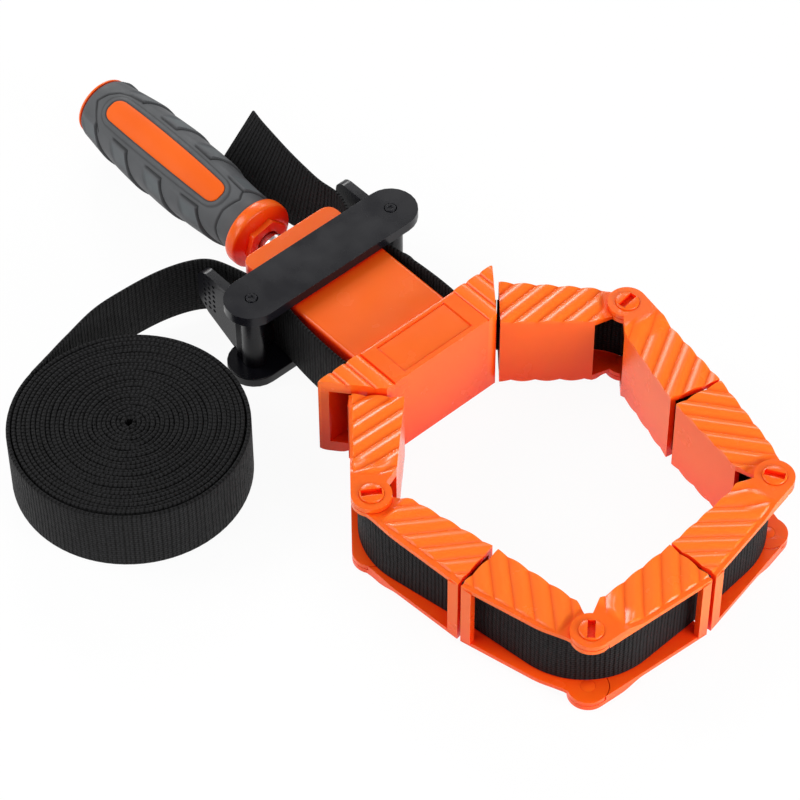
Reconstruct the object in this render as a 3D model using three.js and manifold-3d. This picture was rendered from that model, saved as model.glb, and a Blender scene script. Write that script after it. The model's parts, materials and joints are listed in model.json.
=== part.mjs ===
// Band clamp: a screw-driven strap yoke behind a clamping head, and four hinged corner jaws on the strap.
// Millimetres, +Z up. The origin is the middle of the head's flat underside and +Y runs back to the handle.
import * as THREE from 'three';
import { mergeVertices } from 'three/addons/utils/BufferGeometryUtils.js';
import Module from 'manifold-3d';

const wasm = await Module();
wasm.setup();

// Shared clearances
const CLEARANCE = 0.3; // between pieces that touch or slide
const OVERRUN = 2; // how far a cutting solid passes the face that it opens
const BITE = 0.4; // how deep a joined feature starts inside its carrier

// Strap webbing
const STRAP_WIDTH = 25;
const STRAP_THICKNESS = 1.2;
const STRAP_SIDE_PLAY = 0.3; // above and below the strap inside the plastic
const TAIL_LEAN_DEG = 36; // the loose end leans over toward the handle by this much
const COIL_LOOPS = 24;
const COIL_STEPS = 24; // straight steps in one loop
const COIL_PITCH = 1.6; // from one loop to the next
const COIL_THICKNESS = 1.15;
const COIL_RADIUS = 40.9; // middle of the outermost loop where it starts
const COIL_START_DEG = 105;
const COIL_SPACING = 60.8; // left lever pin to the coil's centre, across
const COIL_ADVANCE = 8.2; // coil's centre ahead of the lever pins

// Head
const HEAD_DEPTH = 18.1;
const HEAD_FRONT_WIDTH = 50;
const HEAD_BACK_WIDTH = 79.7;
const HEAD_WALL = 2.8; // front and back walls of the two wings
const HEAD_WING_DROP = 0.9; // wing plates lie this far below the raised centre panel
const PANEL_WIDTH = 42;
const PANEL_RECESS_WIDTH = 31;
const PANEL_RECESS_DEPTH = 0.5;
const PANEL_RECESS_LENGTH = 14.6;
const GUIDE_WIDTH = 41.8;
const GUIDE_HEIGHT = 24.2;
const GUIDE_LENGTH = 36;
const STRAP_GATE = 6.6; // opening in the wing's back wall beside the guide box

// Slider block with its tenon, and the yoke plates
const SLIDER_STEP = 0.5; // sides of the slider block inside the guide box's sides
const SLIDER_WIDTH = GUIDE_WIDTH - 2 * SLIDER_STEP;
const SLIDER_LENGTH = 26.7;
const SLIDER_CORNER = 4;
const TENON_WIDTH = 30;
const TENON_HEIGHT = 16.6;
const TENON_NOSE = 2.5; // space left in front of the tenon
const YOKE_PIN_SPACING = 63.7;
const YOKE_END_RADIUS = 9.7;
const YOKE_PLATE = 4;
const YOKE_INSET = 7.2; // pin line behind the slider block's front face
const LEVER_PIN_RADIUS = 2;
const LEVER_PIN_PROUD = 0.25;
const LEVER_PIN_DIMPLE = 0.4;

// Cam levers
const LEVER_HUB_RADIUS = 4.3;
const LEVER_LENGTH = 27.3; // pin line to blade tip
const LEVER_BLADE = 3.4;
const LEVER_HEIGHT = 26;
const LEVER_TIP_HEIGHT = 19;
const LEVER_NOSE_LENGTH = 8; // flat of the cam along the strap
const LEVER_DOT_RADIUS = 0.75;
const LEVER_DOT_PITCH = 2.4;
const LEVER_DOT_ROWS = 6;
const LEVER_DOT_COLUMNS = 3;
const LEVER_DOT_DEPTH = 0.35;
const LEVER_DOT_INSET_SHARE = 1.5; // of the dot pitch, from the blade's edges to the first dots

// Screw drive
const SPINDLE_RADIUS = 4;
const SPINDLE_COLLAR_RADIUS = 5.4;
const SPINDLE_COLLAR_LENGTH = 5;
const NUT_ACROSS_FLATS = 14;
const NUT_HEAD_LENGTH = 10;
const NUT_SLEEVE_RADIUS = 6.3;
const NUT_SLEEVE_LENGTH = 18;
const RING_GROOVE_DEPTH = 0.7;
const RING_THICKNESS = 1.2;
const RING_WIDTH = 2.4;
const WASHER_RADIUS = 8.2;
const WASHER_THICKNESS = 1.4;
const BLOCK_END_WALL = 14; // material around the spindle at the slider block's back

// Handle
const HANDLE_HEX_LENGTH = 4.2;
const HANDLE_HEX_RADIUS = 9.4; // to the corners
const HANDLE_COLLAR_RADIUS = 13.2;
const HANDLE_COLLAR_LENGTH = 7;
const HANDLE_CORE_RADIUS = 7;
const GRIP_LENGTH = 83;
const GRIP_RADIUS = 13.9;
const GRIP_END_RADIUS = 11.6;
const HANDLE_CAP_LENGTH = 1.4;
const INLAY_LENGTH = 61;
const INLAY_WIDTH = 9.6;
const INLAY_PROUD = 0.2;
const INLAY_INSET = 11.5; // from the collar end of the grip
const HANDLE_TURN_DEG = -22; // the inlay at rest, from straight up toward +X
const HANDLE_PIN_RADIUS = 1.5;
const HANDLE_PIN_SETBACK = 10; // behind the collar
const SPINDLE_TAIL = 18; // spindle length inside the grip

// Jaw arms, measured from the knuckle axis
const ARM_REACH = 43.5;
const ARM_WIDTH = 18.7;
const ARM_PLATE = 1.7; // thickness of an arm's top and bottom
const HINGE_INSET = 7.2; // knuckle axis outward of the clamping face
const CLAMP_WALL = 2;
const CLAMP_WALL_START = 11.3; // from the knuckle axis
const CLAMP_WALL_LENGTH = ARM_REACH - CLAMP_WALL_START;
const END_POST = 2.2;
const END_POST_LENGTH = 4;
const KNUCKLE_RADIUS = 6.8;
const KNUCKLE_PLATE = 1.9;
const PIN_PROUD = 0.9; // knuckle pin above the raised ring
const RAMP_LENGTH = 8.5;
const RAMP_START = 1.4; // past the knuckle ring
const STRAP_OFFSET = 12.5; // strap line outward of the clamping face at the end slot
const JAW_GAP = 1.6; // between neighbouring arms, on the strap line
const STRAP_BEND = 28; // strap radius around a jaw corner
const HEAD_STRAP_BEND = 4;
const RIB_PITCH = 6;
const RIB_HEIGHT = 0.8;
const RIB_START = 13.5; // first rib, from the knuckle axis
const HEAD_RIB_PITCH = 6.2;

// Knuckle pins
const PIN_RADIUS = 2.2;
const PIN_HEAD_RADIUS = 4.2;
const PIN_HEAD_SINK = 0.9;
const PIN_DOME = 0.5;
const PIN_SLOT_WIDTH = 1.3;
const PIN_SLOT_DEPTH = 0.9;
const PIN_SLOT_LENGTH = 6.4;

// Angles in degrees: how far a jaw turns from its neighbour across a strap gap, and its corner angle
const MITRE_SEATS = { right: -1.5, left: -6 }; // arm's inner corner along the head's mitred end
const JAW_TURNS = { rear_right: 1.7, front_right: -7.9, rear_left: 3.9, front_left: -2.9 };
const REAR_CORNERS = { rear_right: 115.1, rear_left: 122.6 };
const FRONT_SPAN_SHARE = 0.9873; // distance of the two front knuckles, of the two links between them
const RIB_SLANT = 45;
const CHAMFER_END = 40;

// Mesh fineness
const HEX_SIDES = 6;
const SMALL_SIDES = 12;
const ROUND_SIDES = 16;
const TURNED_SIDES = 20;
const KNUCKLE_STEPS = 14;
const GRIP_SIDES = 28;
const BEND_STEPS = 8;
const CORNER_STEPS = 4;
const PLATE_END_STEPS = 12;
const LEAD_STEPS = 20;

// Heights, from the strap outward; head, yoke and knuckle pins all span the body height
const CHANNEL_HEIGHT = STRAP_WIDTH + 2 * STRAP_SIDE_PLAY;
const ARM_HEIGHT = CHANNEL_HEIGHT + 2 * ARM_PLATE;
const BODY_HEIGHT = ARM_HEIGHT + 2 * (CLEARANCE + KNUCKLE_PLATE + PIN_PROUD);
const MID = BODY_HEIGHT / 2;
const HALF_TURN = Math.PI;
const QUARTER_TURN = Math.PI / 2;
const radians = THREE.MathUtils.degToRad;

// Materials
function material(color, roughness, metalness = 0) {
  return new THREE.MeshStandardMaterial({ color, roughness, metalness });
}
const ORANGE = material(0xfa5f1e, 0.45);
const BLACK = material(0x26262a, 0.5);
const GREY = material(0x585a5e, 0.8);
const STEEL = material(0xb8babd, 0.3, 1);
const WEBBING = material(0x161616, 0.9);

// Solids and geometry
function solid(geometry) {
  const bare = geometry.clone();
  bare.deleteAttribute('normal');
  bare.deleteAttribute('uv');
  const merged = mergeVertices(bare);
  const vertProperties = new Float32Array(merged.attributes.position.array);
  const triVerts = new Uint32Array(merged.index.array);
  return new wasm.Manifold(new wasm.Mesh({ numProp: 3, vertProperties, triVerts }));
}

function geometryOf(body) {
  const mesh = body.getMesh();
  const geometry = new THREE.BufferGeometry();
  geometry.setAttribute('position', new THREE.BufferAttribute(mesh.vertProperties, 3));
  geometry.setIndex(new THREE.BufferAttribute(mesh.triVerts, 1));
  geometry.computeVertexNormals();
  return geometry;
}

function cut(body, ...tools) {
  return tools.reduce((rest, tool) => rest.subtract(tool), body);
}

function join(body, ...others) {
  return others.reduce((whole, other) => whole.add(other), body);
}

function prism(points, low, high) {
  const shape = new THREE.Shape(points.map(([x, y]) => new THREE.Vector2(x, y)));
  const geometry = new THREE.ExtrudeGeometry(shape, { depth: high - low, bevelEnabled: false });
  geometry.translate(0, 0, low);
  return solid(geometry);
}

function block([x0, y0, z0], [x1, y1, z1]) {
  const geometry = new THREE.BoxGeometry(x1 - x0, y1 - y0, z1 - z0);
  geometry.translate((x0 + x1) / 2, (y0 + y1) / 2, (z0 + z1) / 2);
  return solid(geometry);
}

function post(radius, x, y, low, high, sides = ROUND_SIDES) {
  const geometry = new THREE.CylinderGeometry(radius, radius, high - low, sides);
  geometry.rotateX(QUARTER_TURN);
  geometry.translate(x, y, (low + high) / 2);
  return solid(geometry);
}

// A turned body along Y at the spindle's height; the profile is [radius, y] from axis to axis.
function turned(profile, sides) {
  const points = profile.map(([radius, y]) => new THREE.Vector2(radius, y));
  const geometry = new THREE.LatheGeometry(points, sides);
  geometry.translate(0, 0, MID);
  return solid(geometry);
}

function rod(radius, front, back, sides = ROUND_SIDES) {
  return turned([[0, front], [radius, front], [radius, back], [0, back]], sides);
}

// Outline helpers
function arc(x, y, radius, fromAngle, toAngle, steps) {
  return Array.from({ length: steps + 1 }, (_, k) => {
    const angle = fromAngle + ((toAngle - fromAngle) * k) / steps;
    return [x + radius * Math.cos(angle), y + radius * Math.sin(angle)];
  });
}

function roundedBox(x0, y0, x1, y1, radius) {
  const steps = CORNER_STEPS;
  return [
    ...arc(x1 - radius, y1 - radius, radius, 0, QUARTER_TURN, steps),
    ...arc(x0 + radius, y1 - radius, radius, QUARTER_TURN, HALF_TURN, steps),
    ...arc(x0 + radius, y0 + radius, radius, HALF_TURN, HALF_TURN + QUARTER_TURN, steps),
    ...arc(x1 - radius, y0 + radius, radius, -QUARTER_TURN, 0, steps),
  ];
}

function stadium(spacing, y, radius) {
  const steps = PLATE_END_STEPS;
  return [
    ...arc(spacing / 2, y, radius, -QUARTER_TURN, QUARTER_TURN, steps),
    ...arc(-spacing / 2, y, radius, QUARTER_TURN, HALF_TURN + QUARTER_TURN, steps),
  ];
}

function mirrored(points, hand) {
  return points.map(([x, y]) => [x, y * hand]);
}

// Moulded ribs: a slab whose top is a row of low humps across the direction u
const HUMP_SHARES = [[0, 0], [0.2, 0.7], [0.5, 1], [0.8, 0.7]];
function humps(from, count, pitch, height, length, slant) {
  const end = from + count * pitch;
  const crest = [];
  for (let rib = 0; rib < count; rib += 1) {
    HUMP_SHARES.forEach(([along, up]) => crest.push([from + (rib + along) * pitch, up * height]));
  }
  const outline = [[from, -BITE], ...crest, [end, 0], [end, -BITE]];
  const shape = new THREE.Shape(outline.map(([u, z]) => new THREE.Vector2(u, z)));
  const geometry = new THREE.ExtrudeGeometry(shape, { depth: length, bevelEnabled: false });
  geometry.translate(0, 0, -length / 2);
  geometry.rotateX(QUARTER_TURN);
  geometry.rotateZ(slant);
  return geometry;
}

function onTopAndBottom(geometry, level) {
  const upper = geometry.clone().translate(0, 0, MID + level);
  const lower = geometry.clone().scale(1, 1, -1);
  const index = lower.index ?? null;
  flip(lower, index);
  lower.translate(0, 0, MID - level);
  return [solid(upper), solid(lower)];
}

// Turns every face the other way round after a mirror
function flip(geometry, index) {
  const order = index ? index.array : null;
  if (order) {
    for (let k = 0; k < order.length; k += 3) {
      [order[k], order[k + 1]] = [order[k + 1], order[k]];
    }
    return;
  }
  const place = geometry.attributes.position.array;
  for (let k = 0; k < place.length; k += 9) {
    for (let axis = 0; axis < 3; axis += 1) {
      [place[k + axis], place[k + 3 + axis]] = [place[k + 3 + axis], place[k + axis]];
    }
  }
}

// Strap ribbons: a path of [x, y, base height, lean] swept as a band.
// The path is the band's top edge seen from above; with a lean its foot swings out to the left.
function ribbon(path, thickness, width) {
  const last = path.length - 1;
  const positions = [];
  path.forEach(([x, y, base, lean = 0], k) => {
    const before = path[Math.max(k - 1, 0)];
    const after = path[Math.min(k + 1, last)];
    const back = new THREE.Vector2(x - before[0], y - before[1]).normalize();
    const ahead = new THREE.Vector2(after[0] - x, after[1] - y).normalize();
    const along = back.add(ahead).normalize();
    const reach = thickness / 2;
    const [nx, ny] = [-along.y * reach, along.x * reach];
    const sway = width * Math.sin(lean);
    const [footX, footY] = [x - along.y * sway, y + along.x * sway];
    const foot = base + width * (1 - Math.cos(lean));
    positions.push(footX + nx, footY + ny, foot, footX - nx, footY - ny, foot);
    positions.push(x - nx, y - ny, base + width, x + nx, y + ny, base + width);
  });
  const faces = [0, 1, 2, 0, 2, 3];
  for (let k = 0; k < last; k += 1) {
    for (let side = 0; side < 4; side += 1) {
      const a = 4 * k + side;
      const b = 4 * k + ((side + 1) % 4);
      faces.push(a, a + 4, b, b, a + 4, b + 4);
    }
  }
  const end = 4 * last;
  faces.push(end, end + 2, end + 1, end, end + 3, end + 2);
  const geometry = new THREE.BufferGeometry();
  geometry.setAttribute('position', new THREE.Float32BufferAttribute(positions, 3));
  geometry.setIndex(faces);
  geometry.computeVertexNormals();
  return geometry;
}

// A path from start to end past one corner that is rounded to a radius
function bentPath(start, corner, end, radius) {
  const from = new THREE.Vector2(...start);
  const tip = new THREE.Vector2(...corner);
  const to = new THREE.Vector2(...end);
  const arrive = tip.clone().sub(from).normalize();
  const leave = to.clone().sub(tip).normalize();
  const turn = Math.atan2(arrive.cross(leave), arrive.dot(leave));
  const tangent = radius * Math.tan(Math.abs(turn) / 2);
  const side = Math.sign(turn);
  const first = tip.clone().addScaledVector(arrive, -tangent);
  const centre = first.clone().add(new THREE.Vector2(-arrive.y, arrive.x).multiplyScalar(side * radius));
  const startAngle = Math.atan2(first.y - centre.y, first.x - centre.x);
  return [start, ...arc(centre.x, centre.y, radius, startAngle, startAngle + turn, BEND_STEPS), end];
}

const STRAP_BASE = MID - STRAP_WIDTH / 2;
function strapMesh(path, name) {
  const level = path.map(([x, y]) => [x, y, STRAP_BASE]);
  return named(ribbon(level, STRAP_THICKNESS, STRAP_WIDTH), name, WEBBING);
}

function named(geometry, name, finish) {
  const mesh = new THREE.Mesh(geometry, finish);
  mesh.name = name;
  return mesh;
}

function cadMesh(body, name, finish) {
  return named(geometryOf(body), name, finish);
}

// Head: mitred block, two strap channels, guide box, pocket for the nut
const HEAD_FRONT = -HEAD_DEPTH / 2;
const HEAD_BACK = HEAD_DEPTH / 2;
const GUIDE_END = HEAD_BACK + GUIDE_LENGTH;
const MITRE_RUN = (HEAD_BACK_WIDTH - HEAD_FRONT_WIDTH) / 2;
const MITRE_ANGLE = Math.atan2(HEAD_DEPTH, MITRE_RUN);
const NUT_POCKET_RADIUS = NUT_ACROSS_FLATS / 2 / Math.cos(HALF_TURN / HEX_SIDES) + CLEARANCE;
const NUT_FRONT = HEAD_FRONT + HEAD_WALL + CLEARANCE;
const TENON_BORE_HALF = NUT_SLEEVE_RADIUS + CLEARANCE;
const NUT_BACK = NUT_FRONT + NUT_HEAD_LENGTH + NUT_SLEEVE_LENGTH;

function head() {
  const top = BODY_HEIGHT;
  const wingTop = BODY_HEIGHT - HEAD_WING_DROP;
  const front = HEAD_FRONT_WIDTH / 2;
  const back = HEAD_BACK_WIDTH / 2;
  const outline = [[-front, HEAD_FRONT], [front, HEAD_FRONT], [back, HEAD_BACK], [-back, HEAD_BACK]];
  const wings = prism(outline, HEAD_WING_DROP, wingTop);
  const panel = block([-PANEL_WIDTH / 2, HEAD_FRONT, 0], [PANEL_WIDTH / 2, HEAD_BACK, top]);
  const guideLow = MID - GUIDE_HEIGHT / 2;
  const guide = block(
    [-GUIDE_WIDTH / 2, 0, guideLow],
    [GUIDE_WIDTH / 2, GUIDE_END, guideLow + GUIDE_HEIGHT],
  );
  let body = join(wings, panel, guide);

  const ribCount = Math.floor((HEAD_BACK_WIDTH - PANEL_WIDTH) / 2 / HEAD_RIB_PITCH);
  const trim = prism(outline, -OVERRUN, top + OVERRUN);
  [-1, 1].forEach((side) => {
    const from = PANEL_WIDTH / 2;
    const ridge = humps(from, ribCount, HEAD_RIB_PITCH, RIB_HEIGHT, HEAD_DEPTH, 0);
    ridge.rotateZ(side < 0 ? HALF_TURN : 0);
    onTopAndBottom(ridge, MID - HEAD_WING_DROP).forEach((ribs) => {
      body = body.add(ribs.intersect(trim));
    });
  });

  const channelLow = MID - CHANNEL_HEIGHT / 2;
  const channelHigh = MID + CHANNEL_HEIGHT / 2;
  const inner = GUIDE_WIDTH / 2 + CLEARANCE;
  const gate = inner + STRAP_GATE;
  const channel = [
    [inner, HEAD_FRONT + HEAD_WALL], [back + OVERRUN, HEAD_FRONT + HEAD_WALL],
    [back + OVERRUN, HEAD_BACK - HEAD_WALL], [gate, HEAD_BACK - HEAD_WALL],
    [gate, HEAD_BACK + OVERRUN], [inner, HEAD_BACK + OVERRUN],
  ];
  const mirror = channel.map(([x, y]) => [-x, y]);
  const recessLow = top - PANEL_RECESS_DEPTH;
  const recess = block(
    [-PANEL_RECESS_WIDTH / 2, -PANEL_RECESS_LENGTH / 2, recessLow],
    [PANEL_RECESS_WIDTH / 2, PANEL_RECESS_LENGTH / 2, top + OVERRUN],
  );
  const tenonHalf = TENON_WIDTH / 2 + CLEARANCE;
  const socketHalf = TENON_HEIGHT / 2 + CLEARANCE;
  const socket = block(
    [-tenonHalf, HEAD_BACK, MID - socketHalf],
    [tenonHalf, GUIDE_END + OVERRUN, MID + socketHalf],
  );
  const pocket = turned(
    [[0, HEAD_FRONT + HEAD_WALL], [NUT_POCKET_RADIUS, HEAD_FRONT + HEAD_WALL],
      [NUT_POCKET_RADIUS, HEAD_BACK + OVERRUN], [0, HEAD_BACK + OVERRUN]],
    HEX_SIDES,
  );
  body = cut(body, prism(channel, channelLow, channelHigh), prism(mirror, channelLow, channelHigh));
  return cadMesh(cut(body, recess, socket, pocket), 'head_block', ORANGE);
}

// Screw nut: hexagonal head in the head's pocket, sleeve inside the tenon
function spindleNut() {
  const corner = NUT_ACROSS_FLATS / 2 / Math.cos(HALF_TURN / HEX_SIDES);
  const hexBack = NUT_FRONT + NUT_HEAD_LENGTH;
  const hex = rod(corner, NUT_FRONT, hexBack, HEX_SIDES);
  const sleeve = rod(NUT_SLEEVE_RADIUS, hexBack - BITE, NUT_BACK);
  const bore = rod(SPINDLE_RADIUS + CLEARANCE, NUT_FRONT - OVERRUN, NUT_BACK + OVERRUN);
  return cadMesh(cut(join(hex, sleeve), bore), 'spindle_nut', STEEL);
}

// Slider block: carries the yoke plates, bored for the spindle, with a hollow tenon in the guide box
const SLIDER_FRONT = GUIDE_END + CLEARANCE;
const SLIDER_BACK = SLIDER_FRONT + SLIDER_LENGTH;
const SLIDER_LOW = YOKE_PLATE + CLEARANCE;
const SLIDER_HIGH = BODY_HEIGHT - YOKE_PLATE - CLEARANCE;
const TENON_FRONT = HEAD_BACK + TENON_NOSE;
const BORE_END = SLIDER_BACK - BLOCK_END_WALL;

function sliderBlock() {
  const half = SLIDER_WIDTH / 2;
  const cornerY = SLIDER_BACK - SLIDER_CORNER;
  const outline = [
    ...arc(half - SLIDER_CORNER, cornerY, SLIDER_CORNER, 0, QUARTER_TURN, CORNER_STEPS),
    ...arc(SLIDER_CORNER - half, cornerY, SLIDER_CORNER, QUARTER_TURN, HALF_TURN, CORNER_STEPS),
    [-half, SLIDER_FRONT], [half, SLIDER_FRONT],
  ];
  const body = prism(outline, SLIDER_LOW, SLIDER_HIGH);
  const tenon = block(
    [-TENON_WIDTH / 2, TENON_FRONT, MID - TENON_HEIGHT / 2],
    [TENON_WIDTH / 2, SLIDER_FRONT + BITE, MID + TENON_HEIGHT / 2],
  );
  const chamber = rod(TENON_BORE_HALF, TENON_FRONT - OVERRUN, BORE_END);
  const bore = rod(SPINDLE_RADIUS + CLEARANCE, BORE_END - OVERRUN, SLIDER_BACK + OVERRUN);
  return cadMesh(cut(join(body, tenon), chamber, bore), 'slider_block', ORANGE);
}

const PIN_LINE = SLIDER_FRONT + YOKE_INSET;
const PIN_X = YOKE_PIN_SPACING / 2;

function yokePlates() {
  const outline = stadium(YOKE_PIN_SPACING, PIN_LINE, YOKE_END_RADIUS);
  const levels = { yoke_top_plate: BODY_HEIGHT - YOKE_PLATE, yoke_bottom_plate: 0 };
  return Object.entries(levels).map(([name, low]) => {
    const holes = [-1, 1].map((side) => {
      const radius = LEVER_PIN_RADIUS + CLEARANCE;
      return post(radius, side * PIN_X, PIN_LINE, low - OVERRUN, low + YOKE_PLATE + OVERRUN);
    });
    return cadMesh(cut(prism(outline, low, low + YOKE_PLATE), ...holes), name, BLACK);
  });
}

function leverPin(side, name) {
  const x = side * PIN_X;
  const high = BODY_HEIGHT + LEVER_PIN_PROUD;
  const pin = post(LEVER_PIN_RADIUS, x, PIN_LINE, 0, high);
  const dimple = post(LEVER_PIN_RADIUS / 2, x, PIN_LINE, high - LEVER_PIN_DIMPLE, high + OVERRUN);
  return cadMesh(pin.subtract(dimple), name, STEEL);
}

// Cam lever, in its own frame at the pin: hub, cam flat toward the strap, blade back along +Y
const RUN_X = GUIDE_WIDTH / 2 + CLEARANCE + STRAP_THICKNESS / 2 + CLEARANCE / 2; // strap beside the yoke
const CAM_REACH = PIN_X - (RUN_X + STRAP_THICKNESS / 2 + CLEARANCE);

function camLever(side, name) {
  const low = YOKE_PLATE + CLEARANCE;
  const high = BODY_HEIGHT - YOKE_PLATE - CLEARANCE;
  const half = LEVER_BLADE / 2;
  const nose = [
    [0, -LEVER_HUB_RADIUS], [CAM_REACH, 0], [CAM_REACH, LEVER_NOSE_LENGTH],
    [half, LEVER_NOSE_LENGTH + LEVER_HUB_RADIUS], [-LEVER_HUB_RADIUS, LEVER_HUB_RADIUS],
  ].map(([x, y]) => [-side * x, y]);
  const hub = post(LEVER_HUB_RADIUS, 0, 0, low, high, TURNED_SIDES);
  const cam = prism(nose, STRAP_BASE, STRAP_BASE + STRAP_WIDTH);

  // the blade's outline stands in the YZ plane, its lower corner cut back toward the tip
  const top = low + LEVER_HEIGHT;
  const tipLow = top - LEVER_TIP_HEIGHT;
  const tipRadius = LEVER_TIP_HEIGHT / 4;
  const slopeStart = LEVER_LENGTH / 3;
  const outline = [
    [0, low], [slopeStart, low],
    [LEVER_LENGTH - tipRadius, tipLow], [LEVER_LENGTH, tipLow + tipRadius],
    ...arc(LEVER_LENGTH - tipRadius, top - tipRadius, tipRadius, 0, QUARTER_TURN, CORNER_STEPS),
    [0, top],
  ];
  const shape = new THREE.Shape(outline.map(([y, z]) => new THREE.Vector2(y, z)));
  const bladeGeometry = new THREE.ExtrudeGeometry(shape, { depth: LEVER_BLADE, bevelEnabled: false });
  bladeGeometry.translate(0, 0, -half);
  bladeGeometry.rotateX(QUARTER_TURN);
  bladeGeometry.rotateZ(QUARTER_TURN);
  const blade = solid(bladeGeometry);

  // dimples for the thumb on the outer face
  const dots = [];
  for (let row = 0; row < LEVER_DOT_ROWS; row += 1) {
    for (let column = 0; column < LEVER_DOT_COLUMNS; column += 1) {
      const y = LEVER_LENGTH - LEVER_DOT_PITCH * (column + LEVER_DOT_INSET_SHARE);
      const z = top - LEVER_DOT_PITCH * (row + LEVER_DOT_INSET_SHARE);
      const dot = new THREE.CylinderGeometry(
        LEVER_DOT_RADIUS, LEVER_DOT_RADIUS, LEVER_BLADE, HEX_SIDES,
      );
      dot.rotateZ(QUARTER_TURN);
      dot.translate(side * (LEVER_BLADE - LEVER_DOT_DEPTH), y, z);
      dots.push(solid(dot));
    }
  }
  const bore = post(LEVER_PIN_RADIUS + CLEARANCE, 0, 0, low - OVERRUN, high + OVERRUN);
  return cadMesh(cut(join(hub, cam, blade), bore, ...dots), name, BLACK);
}

// Screw drive and handle, all on the spindle's axis
const WASHER_FRONT = SLIDER_BACK + CLEARANCE;
const COLLAR_FRONT = WASHER_FRONT + WASHER_THICKNESS + CLEARANCE;
const HEX_FRONT = COLLAR_FRONT + SPINDLE_COLLAR_LENGTH + CLEARANCE;
const GUARD_FRONT = HEX_FRONT + HANDLE_HEX_LENGTH;
const GUARD_BACK = GUARD_FRONT + HANDLE_COLLAR_LENGTH;
const GRIP_FRONT = GUARD_BACK + CLEARANCE;
const GRIP_BACK = GRIP_FRONT + GRIP_LENGTH;
const HANDLE_PIN_Y = GUARD_BACK + HANDLE_PIN_SETBACK;
const RING_BACK = BORE_END - CLEARANCE;
const RING_FRONT = RING_BACK - RING_THICKNESS;

function spindle() {
  const tip = NUT_FRONT;
  const tail = GUARD_BACK + SPINDLE_TAIL;
  const shoulder = COLLAR_FRONT + SPINDLE_COLLAR_LENGTH;
  const grooveRadius = SPINDLE_RADIUS - RING_GROOVE_DEPTH;
  const body = turned([
    [0, tip], [grooveRadius, tip], [SPINDLE_RADIUS, tip + RING_GROOVE_DEPTH],
    [SPINDLE_RADIUS, RING_FRONT - CLEARANCE], [grooveRadius, RING_FRONT - CLEARANCE],
    [grooveRadius, RING_BACK + CLEARANCE], [SPINDLE_RADIUS, RING_BACK + CLEARANCE],
    [SPINDLE_RADIUS, COLLAR_FRONT], [SPINDLE_COLLAR_RADIUS, COLLAR_FRONT],
    [SPINDLE_COLLAR_RADIUS, shoulder], [SPINDLE_RADIUS, shoulder],
    [SPINDLE_RADIUS, tail], [0, tail],
  ], TURNED_SIDES);
  const hole = handlePinSolid(HANDLE_PIN_RADIUS + CLEARANCE, SPINDLE_RADIUS + OVERRUN);
  return cadMesh(body.subtract(hole), 'spindle', STEEL);
}

function turnedRing(outer, inner, front, back, name) {
  const profile = [[inner, front], [outer, front], [outer, back], [inner, back], [inner, front]];
  const body = turned(profile, TURNED_SIDES);
  return cadMesh(body, name, STEEL);
}

function handlePinSolid(radius, half) {
  const geometry = new THREE.CylinderGeometry(radius, radius, 2 * half, SMALL_SIDES);
  geometry.rotateZ(QUARTER_TURN);
  geometry.translate(0, HANDLE_PIN_Y, MID);
  return solid(geometry);
}

// Grip profile as shares of its length and of its largest radius
const GRIP_SHARES = [
  [0, 0.775], [0.06, 0.78], [0.14, 0.83], [0.26, 0.925], [0.42, 0.985], [0.58, 1],
  [0.72, 0.985], [0.84, 0.93], [0.94, 0.865], [1, 0.835],
];

function inlaySolid(growth, low) {
  const front = GRIP_FRONT + INLAY_INSET;
  const half = INLAY_WIDTH / 2 + growth;
  const outline = roundedBox(-half, front - growth, half, front + INLAY_LENGTH + growth, half - BITE / 4);
  return prism(outline, low, MID + GRIP_RADIUS + OVERRUN);
}

function gripSkin(growth) {
  const profile = GRIP_SHARES.map(([at, size]) => {
    return [size * GRIP_RADIUS + growth, GRIP_FRONT + at * GRIP_LENGTH];
  });
  return turned([[0, GRIP_FRONT], ...profile, [0, GRIP_BACK]], GRIP_SIDES);
}

function handleCore() {
  const hex = rod(HANDLE_HEX_RADIUS, HEX_FRONT, GUARD_FRONT + BITE, HEX_SIDES);
  const edge = HANDLE_COLLAR_LENGTH / 4;
  const capEdge = HANDLE_CAP_LENGTH / 2;
  const capFront = GRIP_BACK + CLEARANCE;
  const capBack = capFront + HANDLE_CAP_LENGTH;
  const core = turned([
    [0, GUARD_FRONT], [HANDLE_COLLAR_RADIUS - edge, GUARD_FRONT],
    [HANDLE_COLLAR_RADIUS, GUARD_FRONT + edge], [HANDLE_COLLAR_RADIUS, GUARD_BACK - edge],
    [HANDLE_COLLAR_RADIUS - edge, GUARD_BACK], [HANDLE_CORE_RADIUS, GUARD_BACK],
    [HANDLE_CORE_RADIUS, capFront], [GRIP_END_RADIUS, capFront],
    [GRIP_END_RADIUS, capBack - capEdge], [GRIP_END_RADIUS - capEdge, capBack], [0, capBack],
  ], GRIP_SIDES);
  const inlay = inlaySolid(0, MID).intersect(gripSkin(INLAY_PROUD));
  const bore = rod(SPINDLE_RADIUS + CLEARANCE, HEX_FRONT - OVERRUN, GUARD_BACK + SPINDLE_TAIL + CLEARANCE);
  const pinHole = handlePinSolid(HANDLE_PIN_RADIUS + CLEARANCE, HANDLE_CORE_RADIUS + OVERRUN);
  return cadMesh(cut(join(hex, core, inlay), bore, pinHole), 'handle_core', ORANGE);
}

function handleGrip() {
  const bore = rod(HANDLE_CORE_RADIUS + CLEARANCE, GRIP_FRONT - OVERRUN, GRIP_BACK + OVERRUN, GRIP_SIDES);
  const slot = inlaySolid(CLEARANCE, MID);
  return cadMesh(cut(gripSkin(0), bore, slot), 'handle_grip', GREY);
}

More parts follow.
